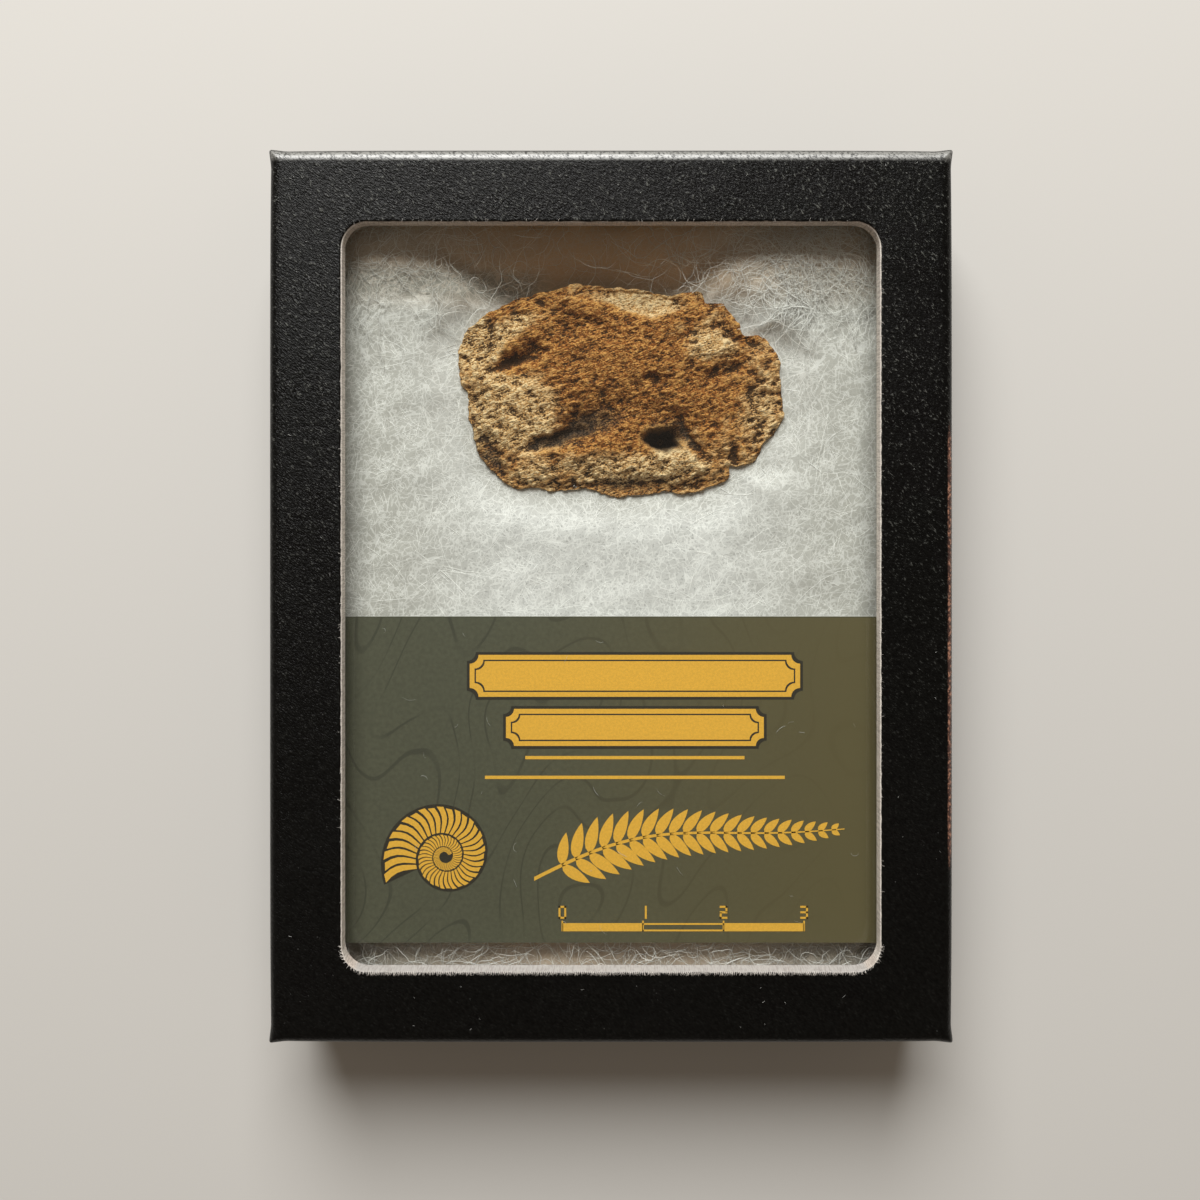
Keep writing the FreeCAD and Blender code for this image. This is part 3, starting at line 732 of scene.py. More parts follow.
def tubes(paths, radii):
    """Points and faces of closed three-sided tubes along paths of shape (tubes, steps, 3)."""
    number, steps, _ = paths.shape
    sides = 3
    ahead = np.gradient(paths, axis=1)
    tiny = 1e-12
    ahead /= np.linalg.norm(ahead, axis=2)[:, :, None] + tiny
    across = np.cross(ahead, [0.0, 0.0, 1.0])
    across /= np.linalg.norm(across, axis=2)[:, :, None] + tiny
    up = np.cross(across, ahead)
    angles = 2 * np.pi * np.arange(sides)[:, None] / sides
    station = np.arange(steps)
    taper = np.minimum(1, 0.35 + 3 * np.minimum(station, steps - 1 - station) / steps)
    reach = radii[:, None, None, None] * taper[None, :, None, None]
    ring = np.cos(angles) * across[:, :, None, :] + np.sin(angles) * up[:, :, None, :]
    points = paths[:, :, None, :] + reach * ring
    start = np.arange(number)[:, None, None] * steps * sides
    low = start + np.arange(steps - 1)[None, :, None] * sides
    corner = np.arange(sides)[None, None, :]
    following = (corner + 1) % sides
    corners = (low + corner, low + following, low + sides + following, low + sides + corner)
    quads = np.stack(np.broadcast_arrays(*corners), -1).reshape(-1, 4)
    first = start.ravel()
    last = first + (steps - 1) * sides
    caps = [list(range(s + sides - 1, s - 1, -1)) for s in first]
    caps += [list(range(s, s + sides)) for s in last]
    return points.reshape(-1, 3), quads.tolist() + caps


def sheet(upper, lower):
    """Points and faces of a closed sheet between two grids of (rows, columns) points.

    The faces come upper side first, then the lower side, then the edge all round.
    """
    rows, columns = upper.shape[:2]
    points = np.concatenate([upper.reshape(-1, 3), lower.reshape(-1, 3)])
    index = np.arange(rows * columns).reshape(rows, columns)
    corners = (index[:-1, :-1], index[:-1, 1:], index[1:, 1:], index[1:, :-1])
    cells = np.stack(corners, -1).reshape(-1, 4)
    edge = np.concatenate([index[0], index[1:, -1], index[-1, -2::-1], index[-2:0:-1, 0]])
    following = np.roll(edge, -1)
    below = index.size
    walls = np.stack([edge, edge + below, following + below, following], 1)
    return points, np.concatenate([cells, cells[:, ::-1] + below, walls]).tolist()


# The bone's outline seen through the glass, in mm from its middle, anticlockwise.
BONE_OUTLINE = np.array([
    (-20.6, 4.7), (-20.2, 1.0), (-19.6, -0.3), (-19.3, -3.2), (-18.7, -6.1), (-17.5, -8.8),
    (-15.2, -11.4), (-13.2, -12.4), (-10.8, -12.3), (-8.7, -12.7), (-4.4, -12.5), (-1.7, -13.2),
    (1.5, -13.3), (5.4, -12.7), (7.7, -13.1), (10.4, -12.5), (13.1, -11.1), (13.5, -9.6),
    (14.7, -9.6), (16.8, -8.8), (17.7, -6.7), (19.2, -5.2), (20.2, -3.2), (20.0, -0.9),
    (19.6, 1.8), (20.0, 3.3), (19.0, 5.0), (17.2, 6.8), (15.1, 7.0), (14.0, 9.2), (12.2, 10.9),
    (10.4, 10.9), (9.6, 12.2), (7.7, 12.3), (5.6, 11.8), (3.1, 12.5), (0.1, 12.8), (-2.8, 13.1),
    (-5.8, 13.4), (-9.1, 12.5), (-11.7, 11.9), (-14.6, 10.8), (-17.8, 9.0), (-19.6, 7.4),
])


def smooth_outline(corners, stations):
    """A closed smooth curve through corners, with evenly spaced stations."""
    before, after = np.roll(corners, 1, 0), np.roll(corners, -1, 0)
    beyond = np.roll(corners, -2, 0)
    rows = []
    for t in np.linspace(0, 1, 24, endpoint=False):
        a = -0.5 * t + t**2 - 0.5 * t**3
        b = 1 - 2.5 * t**2 + 1.5 * t**3
        c = 0.5 * t + 2 * t**2 - 1.5 * t**3
        d = -0.5 * t**2 + 0.5 * t**3
        rows.append(a * before + b * corners + c * after + d * beyond)
    dense = np.stack(rows, 1).reshape(-1, 2)
    closed = np.vstack([dense, dense[:1]])
    run = np.concatenate([[0], np.cumsum(np.linalg.norm(np.diff(closed, axis=0), axis=1))])
    wanted = np.linspace(0, run[-1], stations, endpoint=False)
    return np.stack([np.interp(wanted, run, closed[:, i]) for i in (0, 1)], 1)


# Relief of the bone's front: middle x, y, half length, half width in mm, turn in degrees, and
# height in mm.  Below nought is a hollow.
BONE_RELIEF = [
    (-12.7, 3.8, 2.8, 0.95, 20, -1.5),  # pit near the left end
    (-13.5, 6.2, 4.0, 1.2, 24, 0.5),  # swelling above it
    (-8.7, -6.2, 3.2, 0.9, 18, -1.3),  # long groove rising to the right
    (-4.0, -3.9, 4.2, 2.0, 20, -1.5),  # soft dip that the groove runs into
    (-3.4, -7.4, 4.6, 1.2, 8, 0.5),
    (5.1, -6.3, 1.8, 1.15, -4, -9.0),  # vessel opening
    (5.6, -3.8, 3.6, 1.8, -10, -0.9),  # dip above the opening
    (8.5, -6.4, 2.8, 0.8, -50, -1.1),  # curved groove beside it
    (6.8, -8.9, 3.0, 1.1, -10, 0.4),
    (2.4, 11.3, 4.6, 1.6, -8, -2.0),  # shelf along the head
    (-4.6, 10.6, 3.2, 1.4, -6, 0.8),  # swelling left of the shelf
    (9.0, 10.3, 1.2, 1.6, 0, 0.5),
    (10.7, 5.3, 3.4, 1.6, 10, 0.6),  # pale hump on the right
    (12.6, 2.3, 3.6, 1.0, 24, -0.8),
    (14.4, 6.6, 2.4, 0.7, -28, -1.0),  # step down to the right-hand lobes
    (-18.0, 7.0, 2.0, 4.6, 25, -1.3),  # rubbed slope at the upper left
    (-12.5, -2.5, 5.0, 3.6, 20, 0.5),
    (-18.2, -8.4, 2.2, 5.4, 28, -2.0),  # broken lower left corner
    (0.0, -13.6, 15.0, 2.0, 1, -2.2),  # broken lower edge
    (16.6, -1.8, 1.2, 4.6, 8, -0.9),
    (14.0, -8.8, 0.9, 1.5, 0, -1.1),
    (0.6, 3.6, 7.0, 3.4, 12, 0.55),  # the broad middle
    (4.6, 1.2, 2.0, 1.0, -20, -0.5),
    (-7.0, 7.6, 2.6, 1.2, 16, -0.6),
]
# Where the bone is stained rust, and where it holds dark mineral and painted shade: middle x and
# y, half length, half width in mm, turn in degrees, and share.
BONE_STAINS = [
    (-0.5, 3.2, 9.0, 7.0, 0, 0.7), (-7.0, 9.0, 6.0, 2.6, 10, 0.4),
    (-12.7, 3.7, 3.2, 1.3, 20, 1.2), (-13.4, -2.6, 4.8, 4.2, 0, -1.3),
    (-18.6, 6.4, 2.2, 5.4, 20, -1.1), (-13.0, 8.6, 4.6, 1.6, 28, -0.9),
    (2.4, 10.9, 4.6, 1.3, -8, -1.4), (10.6, 5.6, 3.0, 1.7, 8, -0.9),
    (17.0, -2.4, 2.6, 5.0, 0, -0.4), (7.0, -9.0, 2.8, 1.3, -6, -0.9),
    (1.0, -9.8, 7.5, 1.8, 0, -0.8), (-11.0, -10.4, 2.4, 1.0, 10, -1.1),
    (12.4, -0.6, 4.6, 3.6, 20, 0.4), (-3.0, -7.6, 4.4, 1.2, 8, 0.25),
    (15.0, 7.2, 2.4, 1.4, -30, 0.6), (-12.4, 10.4, 4.6, 1.5, 24, 0.8),
    (0.0, -4.6, 9.0, 2.8, 0, 0.45), (9.0, 10.0, 3.0, 1.2, 20, 0.5),
]
BONE_SOOT_AND_SHADE = [
    (-8.8, -6.2, 3.3, 0.8, 18, 0.95), (-5.4, -4.6, 2.2, 1.1, 34, 0.75),
    (-2.6, -3.3, 3.0, 1.7, 10, 0.8), (5.1, -6.3, 2.0, 1.3, -4, 1.8),
    (8.7, -6.6, 2.6, 0.55, -50, 0.65), (-17.4, -7.6, 1.7, 4.6, 28, 0.75),
    (-2.0, -12.2, 7.0, 1.1, 2, 0.55), (17.4, 5.2, 1.6, 0.7, -30, 0.6),
    (-5.0, -9.0, 4.4, 1.0, 8, 0.35), (-15.0, -9.4, 2.4, 1.2, -30, 0.4),
    (5.4, -4.2, 2.6, 0.9, 0, 0.4), (1.0, -10.9, 11.0, 1.4, 1, 0.42),
    (-7.4, -6.0, 4.6, 1.7, 16, 0.4), (0.2, -5.2, 9.5, 2.4, 2, 0.3),
    (6.2, -6.4, 3.4, 2.2, -10, 0.35), (-12.6, 11.2, 5.0, 1.1, 24, 0.35),
]


def turned(x, y, degrees):
    """Places along and across a direction that is turned by an angle."""
    angle = math.radians(degrees)
    along = x * math.cos(angle) + y * math.sin(angle)
    return along, y * math.cos(angle) - x * math.sin(angle)


def sum_spots(x, y, spots):
    """The sum of soft oval spots at points given in mm."""
    total = np.zeros_like(x)
    for middle_x, middle_y, long, wide, turn, share in spots:
        along, across = turned(x - middle_x, y - middle_y, turn)
        total += share * np.exp(-(((along / long) ** 2 + (across / wide) ** 2) ** 1.4))
    return total


# The bone's grid: stations round it, rings on its front and back, and the share of the outline
# at which both close.
BONE_STATIONS, BONE_RINGS, BACK_RINGS, BONE_PINHOLE = 600, 140, 20, 0.004


def bone_front(rim, direction, share, limit):
    """The front's points in mm, and the wandering x and y at which its marks are placed."""
    front = rim[None] * share[:, None, None]
    x, y = front[..., 0], front[..., 1]
    crown = (1 - share[:, None] ** 6) ** 0.55
    rise = (limit - 0.6) * crown * np.ones_like(x)
    flat = np.stack([x, y, rise], -1).reshape(-1, 3)

    def bumps(size, seed, stretch=1.0, lean=0.0):
        """Noise over the front whose features are longer by stretch, leaning by an angle."""
        along, across = turned(flat[:, 0], flat[:, 1], lean)
        drawn = np.stack([along / stretch, across, flat[:, 2]], 1)
        return ripple(drawn, size, seed).reshape(x.shape)

    def crusted(p):
        """Crust at a point: broken lumps, and sharper ridges that run along the bone."""
        lumps = noise.fractal(Vector(p) / 3.2, 0.8, 2.1, 6)
        drawn = Vector((p[0], p[1] * 1.7, p[2])) / 2.0
        ridges = noise.ridged_multi_fractal(drawn, 0.9, 2.2, 4, 1.0, 2.0)
        return 0.4 * lumps + 0.22 * (ridges - 1.2)

    # Broken edges: every hollow, ridge and stain is placed through a wandering grid.
    warp_x = x + 0.7 * bumps(2.4, 21) + 0.3 * bumps(0.8, 22)
    warp_y = y + 0.5 * bumps(2.2, 23) + 0.25 * bumps(0.7, 24)
    spots = sum_spots(warp_x, warp_y, BONE_RELIEF) * ease((1.02 - share[:, None]) * 9)
    crust = np.array([crusted(p) for p in flat]).reshape(x.shape)
    grain = 0.16 * bumps(0.7, 25, 1.6, 20) + 0.14 * bumps(0.38, 26, 2.0, 20)
    grain += 0.08 * bumps(0.24, 27, 1.6, 20)
    relief = rise + spots + crust + grain * (1 + 0.8 * ease((share[:, None] - 0.75) / 0.2))
    # The highest lumps are rounded off under the glass, and the rim stays above the waist.
    soft = 0.3
    start = limit - soft
    relief = np.where(relief > start, start + soft * np.tanh((relief - start) / soft), relief)
    shallow = -0.1 + 0.3 * bumps(0.9, 28) - 9 * ease((0.8 - share[:, None]) / 0.3)
    relief = np.maximum(relief, shallow)
    push = (0.3 * bumps(1.6, 11) + 0.16 * bumps(0.55, 12)) * share[:, None] ** 3
    place = front + direction[None] * push[..., None]
    return np.concatenate([place, relief[..., None]], -1), warp_x, warp_y


def bone_back(rim, direction, deep):
    """The back's points in mm: a lumpy bowl under the front's rim, deep mm down to its floor."""
    turn = np.linspace(0, 1, BACK_RINGS + 1)[1:]
    width = np.cos(turn * math.pi / 2) ** 0.62 * 0.985
    width[-1] = BONE_PINHOLE
    back = rim[None] * width[:, None, None]
    drop = -deep * np.sin(turn * math.pi / 2) ** 0.9
    drop = np.broadcast_to(drop[:, None, None], (*back.shape[:2], 1))
    back = np.concatenate([back, drop], -1)
    lumps = ripple(back, 2.4, 13).reshape(back.shape[:2]) * 0.4 * width[:, None]
    back[..., :2] += direction[None] * ((lumps - 0.25) * ease(turn * 8)[:, None])[..., None]
    return back


def bone_layers(height, warp_x, warp_y, rings):
    """What the bone's material reads at each point: how hollow, stained and sooty it is."""
    soft = height.copy()
    for _ in range(30):
        soft = (soft + np.roll(soft, 1, 1) + np.roll(soft, -1, 1)) / 3
        soft[1:-1] = (soft[1:-1] + soft[2:] + soft[:-2]) / 3
    clean = sum_spots(warp_x, warp_y, [(2.0, 10.9, 5.2, 1.5, -6, 1.0)])
    front = {
        # The cavity lays both umber stain and painted shade in the hollows.
        "cavity": np.clip((soft - height) / 0.6, -0.7, 1.2) - 0.55 * clean,
        "stain": 0.42 + 0.87 * sum_spots(warp_x, warp_y, BONE_STAINS),
        "soot": sum_spots(warp_x, warp_y, BONE_SOOT_AND_SHADE),
    }
    layers = {}
    for name, at_back in (("cavity", 0.0), ("stain", 0.4), ("soot", 0.25)):
        layers[name] = np.full((rings, BONE_STATIONS), at_back)
        layers[name][:BONE_RINGS] = front[name]
    return layers


def build_bone():
    """The fossil: a broken bone plate, pitted, grooved and stained, closed at the back."""
    middle = (BONE_LOW + BONE_HIGH) / 2
    waist = BONE_HIGH.z - 1.9 * MM
    rim = smooth_outline(BONE_OUTLINE, BONE_STATIONS)
    direction = rim / np.linalg.norm(rim, axis=1)[:, None]
    share = np.linspace(BONE_PINHOLE, 1, BONE_RINGS) ** 0.8
    face, warp_x, warp_y = bone_front(rim, direction, share, (BONE_HIGH.z - waist) / MM)
    back = bone_back(face[-1, :, :2], direction, (waist - BONE_LOW.z) / MM)
    everything = np.concatenate([face, back])
    rings = len(everything)
    layers = bone_layers(face[..., 2], warp_x, warp_y, rings)
    world = everything * MM + np.array([middle.x, middle.y, waist])
    last = (rings - 1) * BONE_STATIONS
    caps = [list(range(BONE_STATIONS)), list(range(last, last + BONE_STATIONS))[::-1]]
    faces = bridge(rings, BONE_STATIONS, False) + caps
    slot, look = "fossil_bone", [bone_material()]
    piece = add_piece("fossil_bone", world, faces, "tray", look, ["fossil_specimen"])
    for name, values in layers.items():
        add_layer(piece, name, values)
    weld(piece, 0.0)


def bone_distance(x, y):
    """Roughly how far points (m) lie outside the bone's outline, in mm; below nought inside."""
    middle = (BONE_LOW + BONE_HIGH) / 2
    rim = smooth_outline(BONE_OUTLINE, 240)
    rim_angle = np.arctan2(rim[:, 1], rim[:, 0])
    order = np.argsort(rim_angle)
    reach = np.hypot(rim[:, 0], rim[:, 1])[order]
    dx, dy = (x - middle.x) / MM, (y - middle.y) / MM
    allowed = np.interp(np.arctan2(dy, dx), rim_angle[order], reach, period=2 * math.pi)
    return np.hypot(dx, dy) - allowed


HOLLOW_WIDTH = 16.5  # mm, half the width of the hollow at the batt's head


def head_hollow(x, width_mm):
    """How deep in the hollow at the batt's head a place lies across the tray, from 0 to 1."""
    return np.exp(-(((x / MM + 3.4) / width_mm) ** 4))


def thinness(x, y):
    """How far the batt lets the brown board show: at its head, its brim and the card's foot."""
    head = ease((y - 34.5 * MM) / (5 * MM)) * (0.5 + 0.5 * head_hollow(x, HOLLOW_WIDTH))
    brim = 0.5 * ease((y - 42.5 * MM) / (3 * MM))
    foot = 0.6 * ease((CARD_LOW.y + 1.5 * MM - y) / (2 * MM))
    return np.maximum(np.maximum(head, brim), foot)


def slackness(x, y):
    """How much duller the fibre lies: at the tray's sides and where the bone presses it down."""
    # Painted shade: grey at the sides, round the bone and at the head's left, not under the head.
    sides = 0.58 * ease((np.abs(x) / MM - 10) / 20)
    pressed = 0.5 * ease(1 - bone_distance(x, y) / 4.5)
    head_left = 0.85 * ease((y / MM - 35) / 3) * ease((-4 - x / MM) / 8)
    dull = np.maximum(np.maximum(sides, pressed), head_left)
    return dull * (1 - 0.9 * ease((y / MM - 39.5) / 2.5))


def batt_height(x, y):
    """Height of the batt's surface (m) at points given in metres."""
    wave = np.zeros_like(x)
    random = np.random.default_rng(SEED)
    longest = 17
    for size in (longest, 9, 5, 3):
        for _ in range(5):
            angle, phase = random.uniform(0, 2 * math.pi, 2)
            push = (x * math.cos(angle) + y * math.sin(angle)) / (size * MM) * 2 * math.pi
            wave += size / longest * np.sin(push + phase) / 5
    top = FILL_HIGH.z - 0.15 * MM + 0.3 * MM * wave
    # The bone presses it down, a little further on the side of the head.
    gap = bone_distance(x, y)
    ahead = 0.6 * ease((y / MM - 24) / 10)
    top -= MM * (1.15 * ease(1 - gap / 6.0) + ahead * ease(1 - gap / 5.0))
    # The batt was cut short and hollow at the head; it sinks at the sides and below the card.
    hollow = head_hollow(x, HOLLOW_WIDTH)
    top -= (0.9 + 4.6 * hollow) * MM * ease((y / MM - 41 + 8 * hollow) / 5)
    top -= 0.8 * MM * ease((np.abs(x) - 30 * MM) / (5 * MM))
    top -= 2.4 * MM * ease((CARD_LOW.y + 0.8 * MM - y) / (1.6 * MM))
    above_foot = ease((y - CARD_LOW.y + 0.5 * MM) / (0.5 * MM))
    under_card = ease((CARD_HIGH.y + 1.2 * MM - y) / (1.2 * MM)) * above_foot
    top = np.where(under_card > 0.5, np.minimum(top, CARD_LOW.z - 0.15 * MM), top)
    return np.minimum(top, GLASS_LOW.z - 0.35 * MM)


def add_fibre_layers(piece, points, thin, slack):
    """Stores on a fibre piece where the batt is thin and slack, each with a share."""
    x, y = points[:, 0], points[:, 1]
    add_layer(piece, "thin", thin * thinness(x, y))
    add_layer(piece, "slack", slack * slackness(x, y))


def build_batt():
    """The carded batt that fills the tray, with the hollow that the bone presses into it."""
    half_x, half_y = FILL_HIGH.x, FILL_HIGH.y
    columns, rows = 190, 250
    across, along = np.linspace(-half_x, half_x, columns), np.linspace(-half_y, half_y, rows)
    grid_x, grid_y = np.meshgrid(across, along)
    # The strands over it make up the rest of its height.
    top = batt_height(grid_x, grid_y) - 0.32 * MM
    near = np.minimum(half_x - np.abs(grid_x), half_y - np.abs(grid_y))
    shoulder, rounding = 13.0 * MM, 1.6 * MM
    rounded = shoulder - 0.8 * MM * (1 - near / rounding) ** 2
    top = np.where(near < rounding, np.minimum(top, rounded), top)
    # The pocket starts a little inside the bone's outline, so the fibre closes up to the bone.
    inside, lip, slope, depth = -bone_distance(grid_x, grid_y), 1.2, 4.0, 9 * MM
    pocket = np.maximum(BONE_LOW.z - 0.4 * MM, top - depth * ease((inside - lip) / slope))
    top = np.where(inside > 0, pocket, top)
    upper = np.stack([grid_x, grid_y, top], -1)
    lower = np.stack([grid_x, grid_y, np.full_like(top, FILL_LOW.z)], -1)
    points, faces = sheet(upper, lower)
    slot, look = "polyester_fibre", [fibre_material("carded_polyester_batt", True)]
    piece = add_piece("fibre_batt", points, faces, "tray", look, ["fibre_fill"])
    add_fibre_layers(piece, points, 1.0, 1.0)


def strand_starts(random, number, half_x, half_y, wisps):
    """Where strands begin: beside the card, more at the sides; wisps at the batt's thin ends."""
    foot, head = CARD_LOW.y - 1.5 * MM, CARD_HIGH.y + 1.0 * MM
    foot_room, head_room = half_y + foot, half_y - head
    # Wisps draw these too, and keep only x.
    in_foot = random.random(number) < foot_room / (foot_room + head_room)
    low = random.uniform(-half_y, foot, number)
    high = random.uniform(head - 2.5 * MM, half_y, number)
    x = random.uniform(-half_x, half_x, number)
    if not wisps:
        crowding = 1.25
        x = half_x * np.sin(crowding * x / half_x) / math.sin(crowding)
        return x, np.where(in_foot, low, high)
    in_foot = random.random(number) < 0.34
    low = random.uniform(-half_y, foot + MM, number)
    high = random.uniform(34.5 * MM, half_y - 2 * MM, number)
    moved = ~in_foot & (random.random(number) < 0.75 * head_hollow(x, 15))
    return np.where(moved, x * 0.3 + 25 * MM, x), np.where(in_foot, low, high)


def strand_paths(random, number, steps, reach, depths, wisps):
    """Gently bent paths in the batt's upper layer, clear of the bone, the card and the glass.

    Wisps are the curlier strands that stand free over the thin ends of the batt.
    """
    half_x, half_y = FILL_HIGH.x - 0.7 * MM, FILL_HIGH.y - 0.7 * MM
    curl, jitter, sway_mm, scale = (2.2, 0.3, 0.06, 0.62) if wisps else (0.9, 0.16, 0.015, 1.0)
    x, y = np.empty((2, number, steps))
    x[:, 0], y[:, 0] = strand_starts(random, number, half_x, half_y, wisps)
    heading = random.uniform(0, 2 * math.pi, number)
    bend = random.normal(0, curl, number)
    stride = reach * random.uniform(0.3, 1.0, number) * scale / (steps - 1)
    for step in range(1, steps):
        heading = heading + bend / steps + random.normal(0, jitter, number)
        x[:, step] = x[:, step - 1] + np.cos(heading) * stride
        y[:, step] = y[:, step - 1] + np.sin(heading) * stride
    x, y = np.clip(x, -half_x, half_x), np.clip(y, -half_y, half_y)
    sway = random.uniform(0, 2 * math.pi, (number, 1)) + np.linspace(0, 4, steps)[None]
    lift = random.uniform(*depths, (number, 1)) * MM
    z = batt_height(x, y) + lift + sway_mm * MM * np.sin(sway)
    if wisps:
        z = z + random.uniform(0, 1, (number, 1)) * (FILL_HIGH.z - z) * 0.9
    gap = bone_distance(x, y)
    z = z - 2.4 * MM * ease((0.1 - gap) / 1.6)
    beside = 0.2 * MM
    over_card = (y > CARD_LOW.y - beside) & (y < CARD_HIGH.y + beside) & (np.abs(x) < CARD_HIGH.x)
    z = np.where(over_card, np.minimum(z, CARD_LOW.z - 0.1 * MM), z)
    keep = (gap.min(1) > -3.2) & (over_card.mean(1) < 0.75)
    if not wisps:
        sparse = 0.5 * thinness(x, y).max(1) * (y.max(1) > 0)
        keep &= random.random(number) >= sparse
    z = np.minimum(z, GLASS_LOW.z - 0.12 * MM)
    return np.stack([x, y, z], -1)[keep]


def build_strands():
    """The loose crimped strands that lie over the batt, in a few pieces."""
    held = settings("contents")
    random = np.random.default_rng(SEED + 1)
    material = fibre_material("crimped_polyester_strand", False)
    # Share of the number, range of height over the batt in mm, share of the diameter, wisps.
    layers = (
        (0.3, (-0.36, -0.34), 0.8, False),
        (0.2, (-0.36, -0.33), 0.9, False),
        (0.18, (-0.25, 0.2), 0.8, True),
        (0.14, (-0.1, 0.35), 1.05, True),
    )
    for number, (share, depths, thick, wisps) in enumerate(layers, 1):
        steps, slack = (11, 0.6) if wisps else (7, 0.15)
        count = int(held.strands * share)
        paths = strand_paths(random, count, steps, held.strand_reach, depths, wisps)
        radii = held.strand / 2 * thick * random.uniform(0.6, 1.2, len(paths))
        points, faces = tubes(paths, radii)
        name = f"fibre_strands_{number}"
        piece = add_piece(name, points, faces, "tray", [material])
        add_fibre_layers(piece, points, 0.15, slack)


def build_fuzz():
    """Pulp fibres torn loose along the window's cut edge, most at its foot."""
    box = settings("box")
    random = np.random.default_rng(SEED + 2)
    half_x, half_y = LID_HIGH.x - box.border, LID_HIGH.y - box.border
    ring = rounded_loop(half_x, half_y, box.window_radius, LID_HIGH.z)
    weight = np.where(ring[:, 1] < -0.93 * half_y, 6.0, 0.12)
    number = 2600
    root = ring[random.choice(len(ring), number, p=weight / weight.sum())]
    # The torn pulp lies back over the covering paper, away from the window.
    on_end = (np.abs(root[:, 1]) > half_y - MM)[:, None]
    away = np.sign(root[:, :2]) * np.where(on_end, [0, 1], [1, 0])
    along = np.stack([-away[:, 1], away[:, 0]], 1)
    root[:, 2] = LID_HIGH.z - random.uniform(0.0, 0.12, number) * MM
    lean = random.normal(0, 0.3, number)[:, None, None]
    reach = random.uniform(0.25, 0.75, number)[:, None, None] ** 2 * MM
    steps = np.linspace(0, 1, 5)[None]
    drift = away[:, None] * steps[..., None] + along[:, None] * lean * steps[..., None] ** 1.5
    flat = root[:, None, :2] - away[:, None] * 0.03 * MM + drift * reach
    low = root[:, 2:]
    rise = low + (LID_HIGH.z + 0.04 * MM - low) * ease(steps * 2.5)
    paths = np.concatenate([flat, rise[..., None]], -1)
    points, faces = tubes(paths, random.uniform(0.008, 0.02, number) * MM)
    look = [plain_paper_material("torn_pulp_fibre", linear("#e6e0d8"))]
    add_piece("window_edge_fuzz", points, faces, "lid", look)


def lid_places(random, number):
    """Random places just over the lid's face, all on its border."""
    side = random.integers(0, 4, number)
    along, inset = random.uniform(-1, 1, number), random.uniform(1.4, 7.6, number) * MM
    from_x, from_y = LID_HIGH.x - inset, LID_HIGH.y - inset
    on_side = side < 2
    x = np.where(on_side, np.where(side == 0, 1, -1) * from_x, along * (LID_HIGH.x - MM))
    y = np.where(on_side, along * (LID_HIGH.y - MM), np.where(side == 2, 1, -1) * from_y)
    z = LID_HIGH.z + 0.01 * MM
    return np.clip(x, -40 * MM, 40 * MM), np.clip(y, -52.5 * MM, 52.5 * MM), z


def card_places(random, number):
    """Random places just over the part of the card that the window shows."""
    x = random.uniform(-31.5 * MM, 31.5 * MM, number)
    y = random.uniform(CARD_LOW.y + MM, CARD_HIGH.y - MM, number)
    return x, y, CARD_HIGH.z + 0.035 * MM


def build_lint():
    """Lint and dust: short pale fibres on the lid's paper and on the card."""
    random = np.random.default_rng(SEED + 3)
    material = plain_paper_material("pale_lint", linear("#cfd0cc"))
    steps = 8
    # How many fibres lie there, and how long they are in mm.
    for name, body, slot, places, number, reach in (
        ("lint_on_lid", "lid", "black_leatherette", lid_places, 46, (0.15, 0.6)),
        ("lint_on_card", "tray", "polyester_fibre", card_places, 30, (0.4, 2.2)),
    ):
        x, y, z = places(random, number)
        heading, bend = random.uniform(0, 2 * math.pi, number), random.normal(0, 1.6, number)
        stride = random.uniform(*reach, number)[:, None] * MM / steps
        angle = heading[:, None] + bend[:, None] * np.linspace(0, 1, steps)[None]
        run_x, run_y = (np.cumsum(wave(angle), 1) * stride for wave in (np.cos, np.sin))
        paths = np.stack([x[:, None] + run_x, y[:, None] + run_y, np.full_like(angle, z)], -1)
        points, faces = tubes(paths, random.uniform(0.009, 0.022, number) * MM)
        add_piece(name, points, faces, body, [material])


def build_card():
    """The card: a thin sheet, cut square, lying a little uneven on the fibre."""
    low, high = CARD_LOW, CARD_HIGH
    columns, rows = 72, 44
    across, along = np.linspace(low.x, high.x, columns), np.linspace(low.y, high.y, rows)
    grid_x, grid_y = np.meshgrid(across, along)
    bow = 0.02 * MM * np.sin(grid_x / high.x * 2.2 + 0.4) * np.cos(grid_y / (20 * MM))
    upper = np.stack([grid_x, grid_y, high.z + bow - 0.04 * MM], -1)
    points, faces = sheet(upper, upper - [0, 0, high.z - low.z])
    look = [card_material(), plain_paper_material("card_core_paper", linear("#dcdcd6"))]
    piece = add_piece("specimen_card", points, faces, "tray", look, ["label_card"])
    printed = (columns - 1) * (rows - 1)
    for number, face in enumerate(piece.data.polygons):
        face.use_smooth = False
        face.material_index = int(number >= printed)


def prisms(outlines, low, high):
    """Points and faces of one thin closed plate for each outline given in mm."""
    points, faces = [], []
    for outline in outlines:
        start, count = len(points), len(outline)
        for z in (low, high):
            points += [(x * MM, y * MM, z) for x, y in outline]
        faces.append([start + i for i in reversed(range(count))])
        faces.append([start + count + i for i in range(count)])
        for i in range(count):
            after = (i + 1) % count
            faces.append([start + i, start + after, start + count + after, start + count + i])
    return points, faces


def cartouche(middle_x, middle_y, wide, tall, bite, margin):
    """A name field grown by a margin: its corners are cut in by quarter circles."""
    half_x, half_y = wide / 2 + margin, tall / 2 + margin
    outline = []
    for turn, (side_x, side_y) in enumerate(((1, -1), (1, 1), (-1, 1), (-1, -1))):
        corner_x, corner_y = middle_x + side_x * half_x, middle_y + side_y * half_y
        for step in range(7):
            angle = math.radians(180 + 90 * turn - 15 * step)
            outline.append((corner_x + bite * math.cos(angle), corner_y + bite * math.sin(angle)))
    return outline


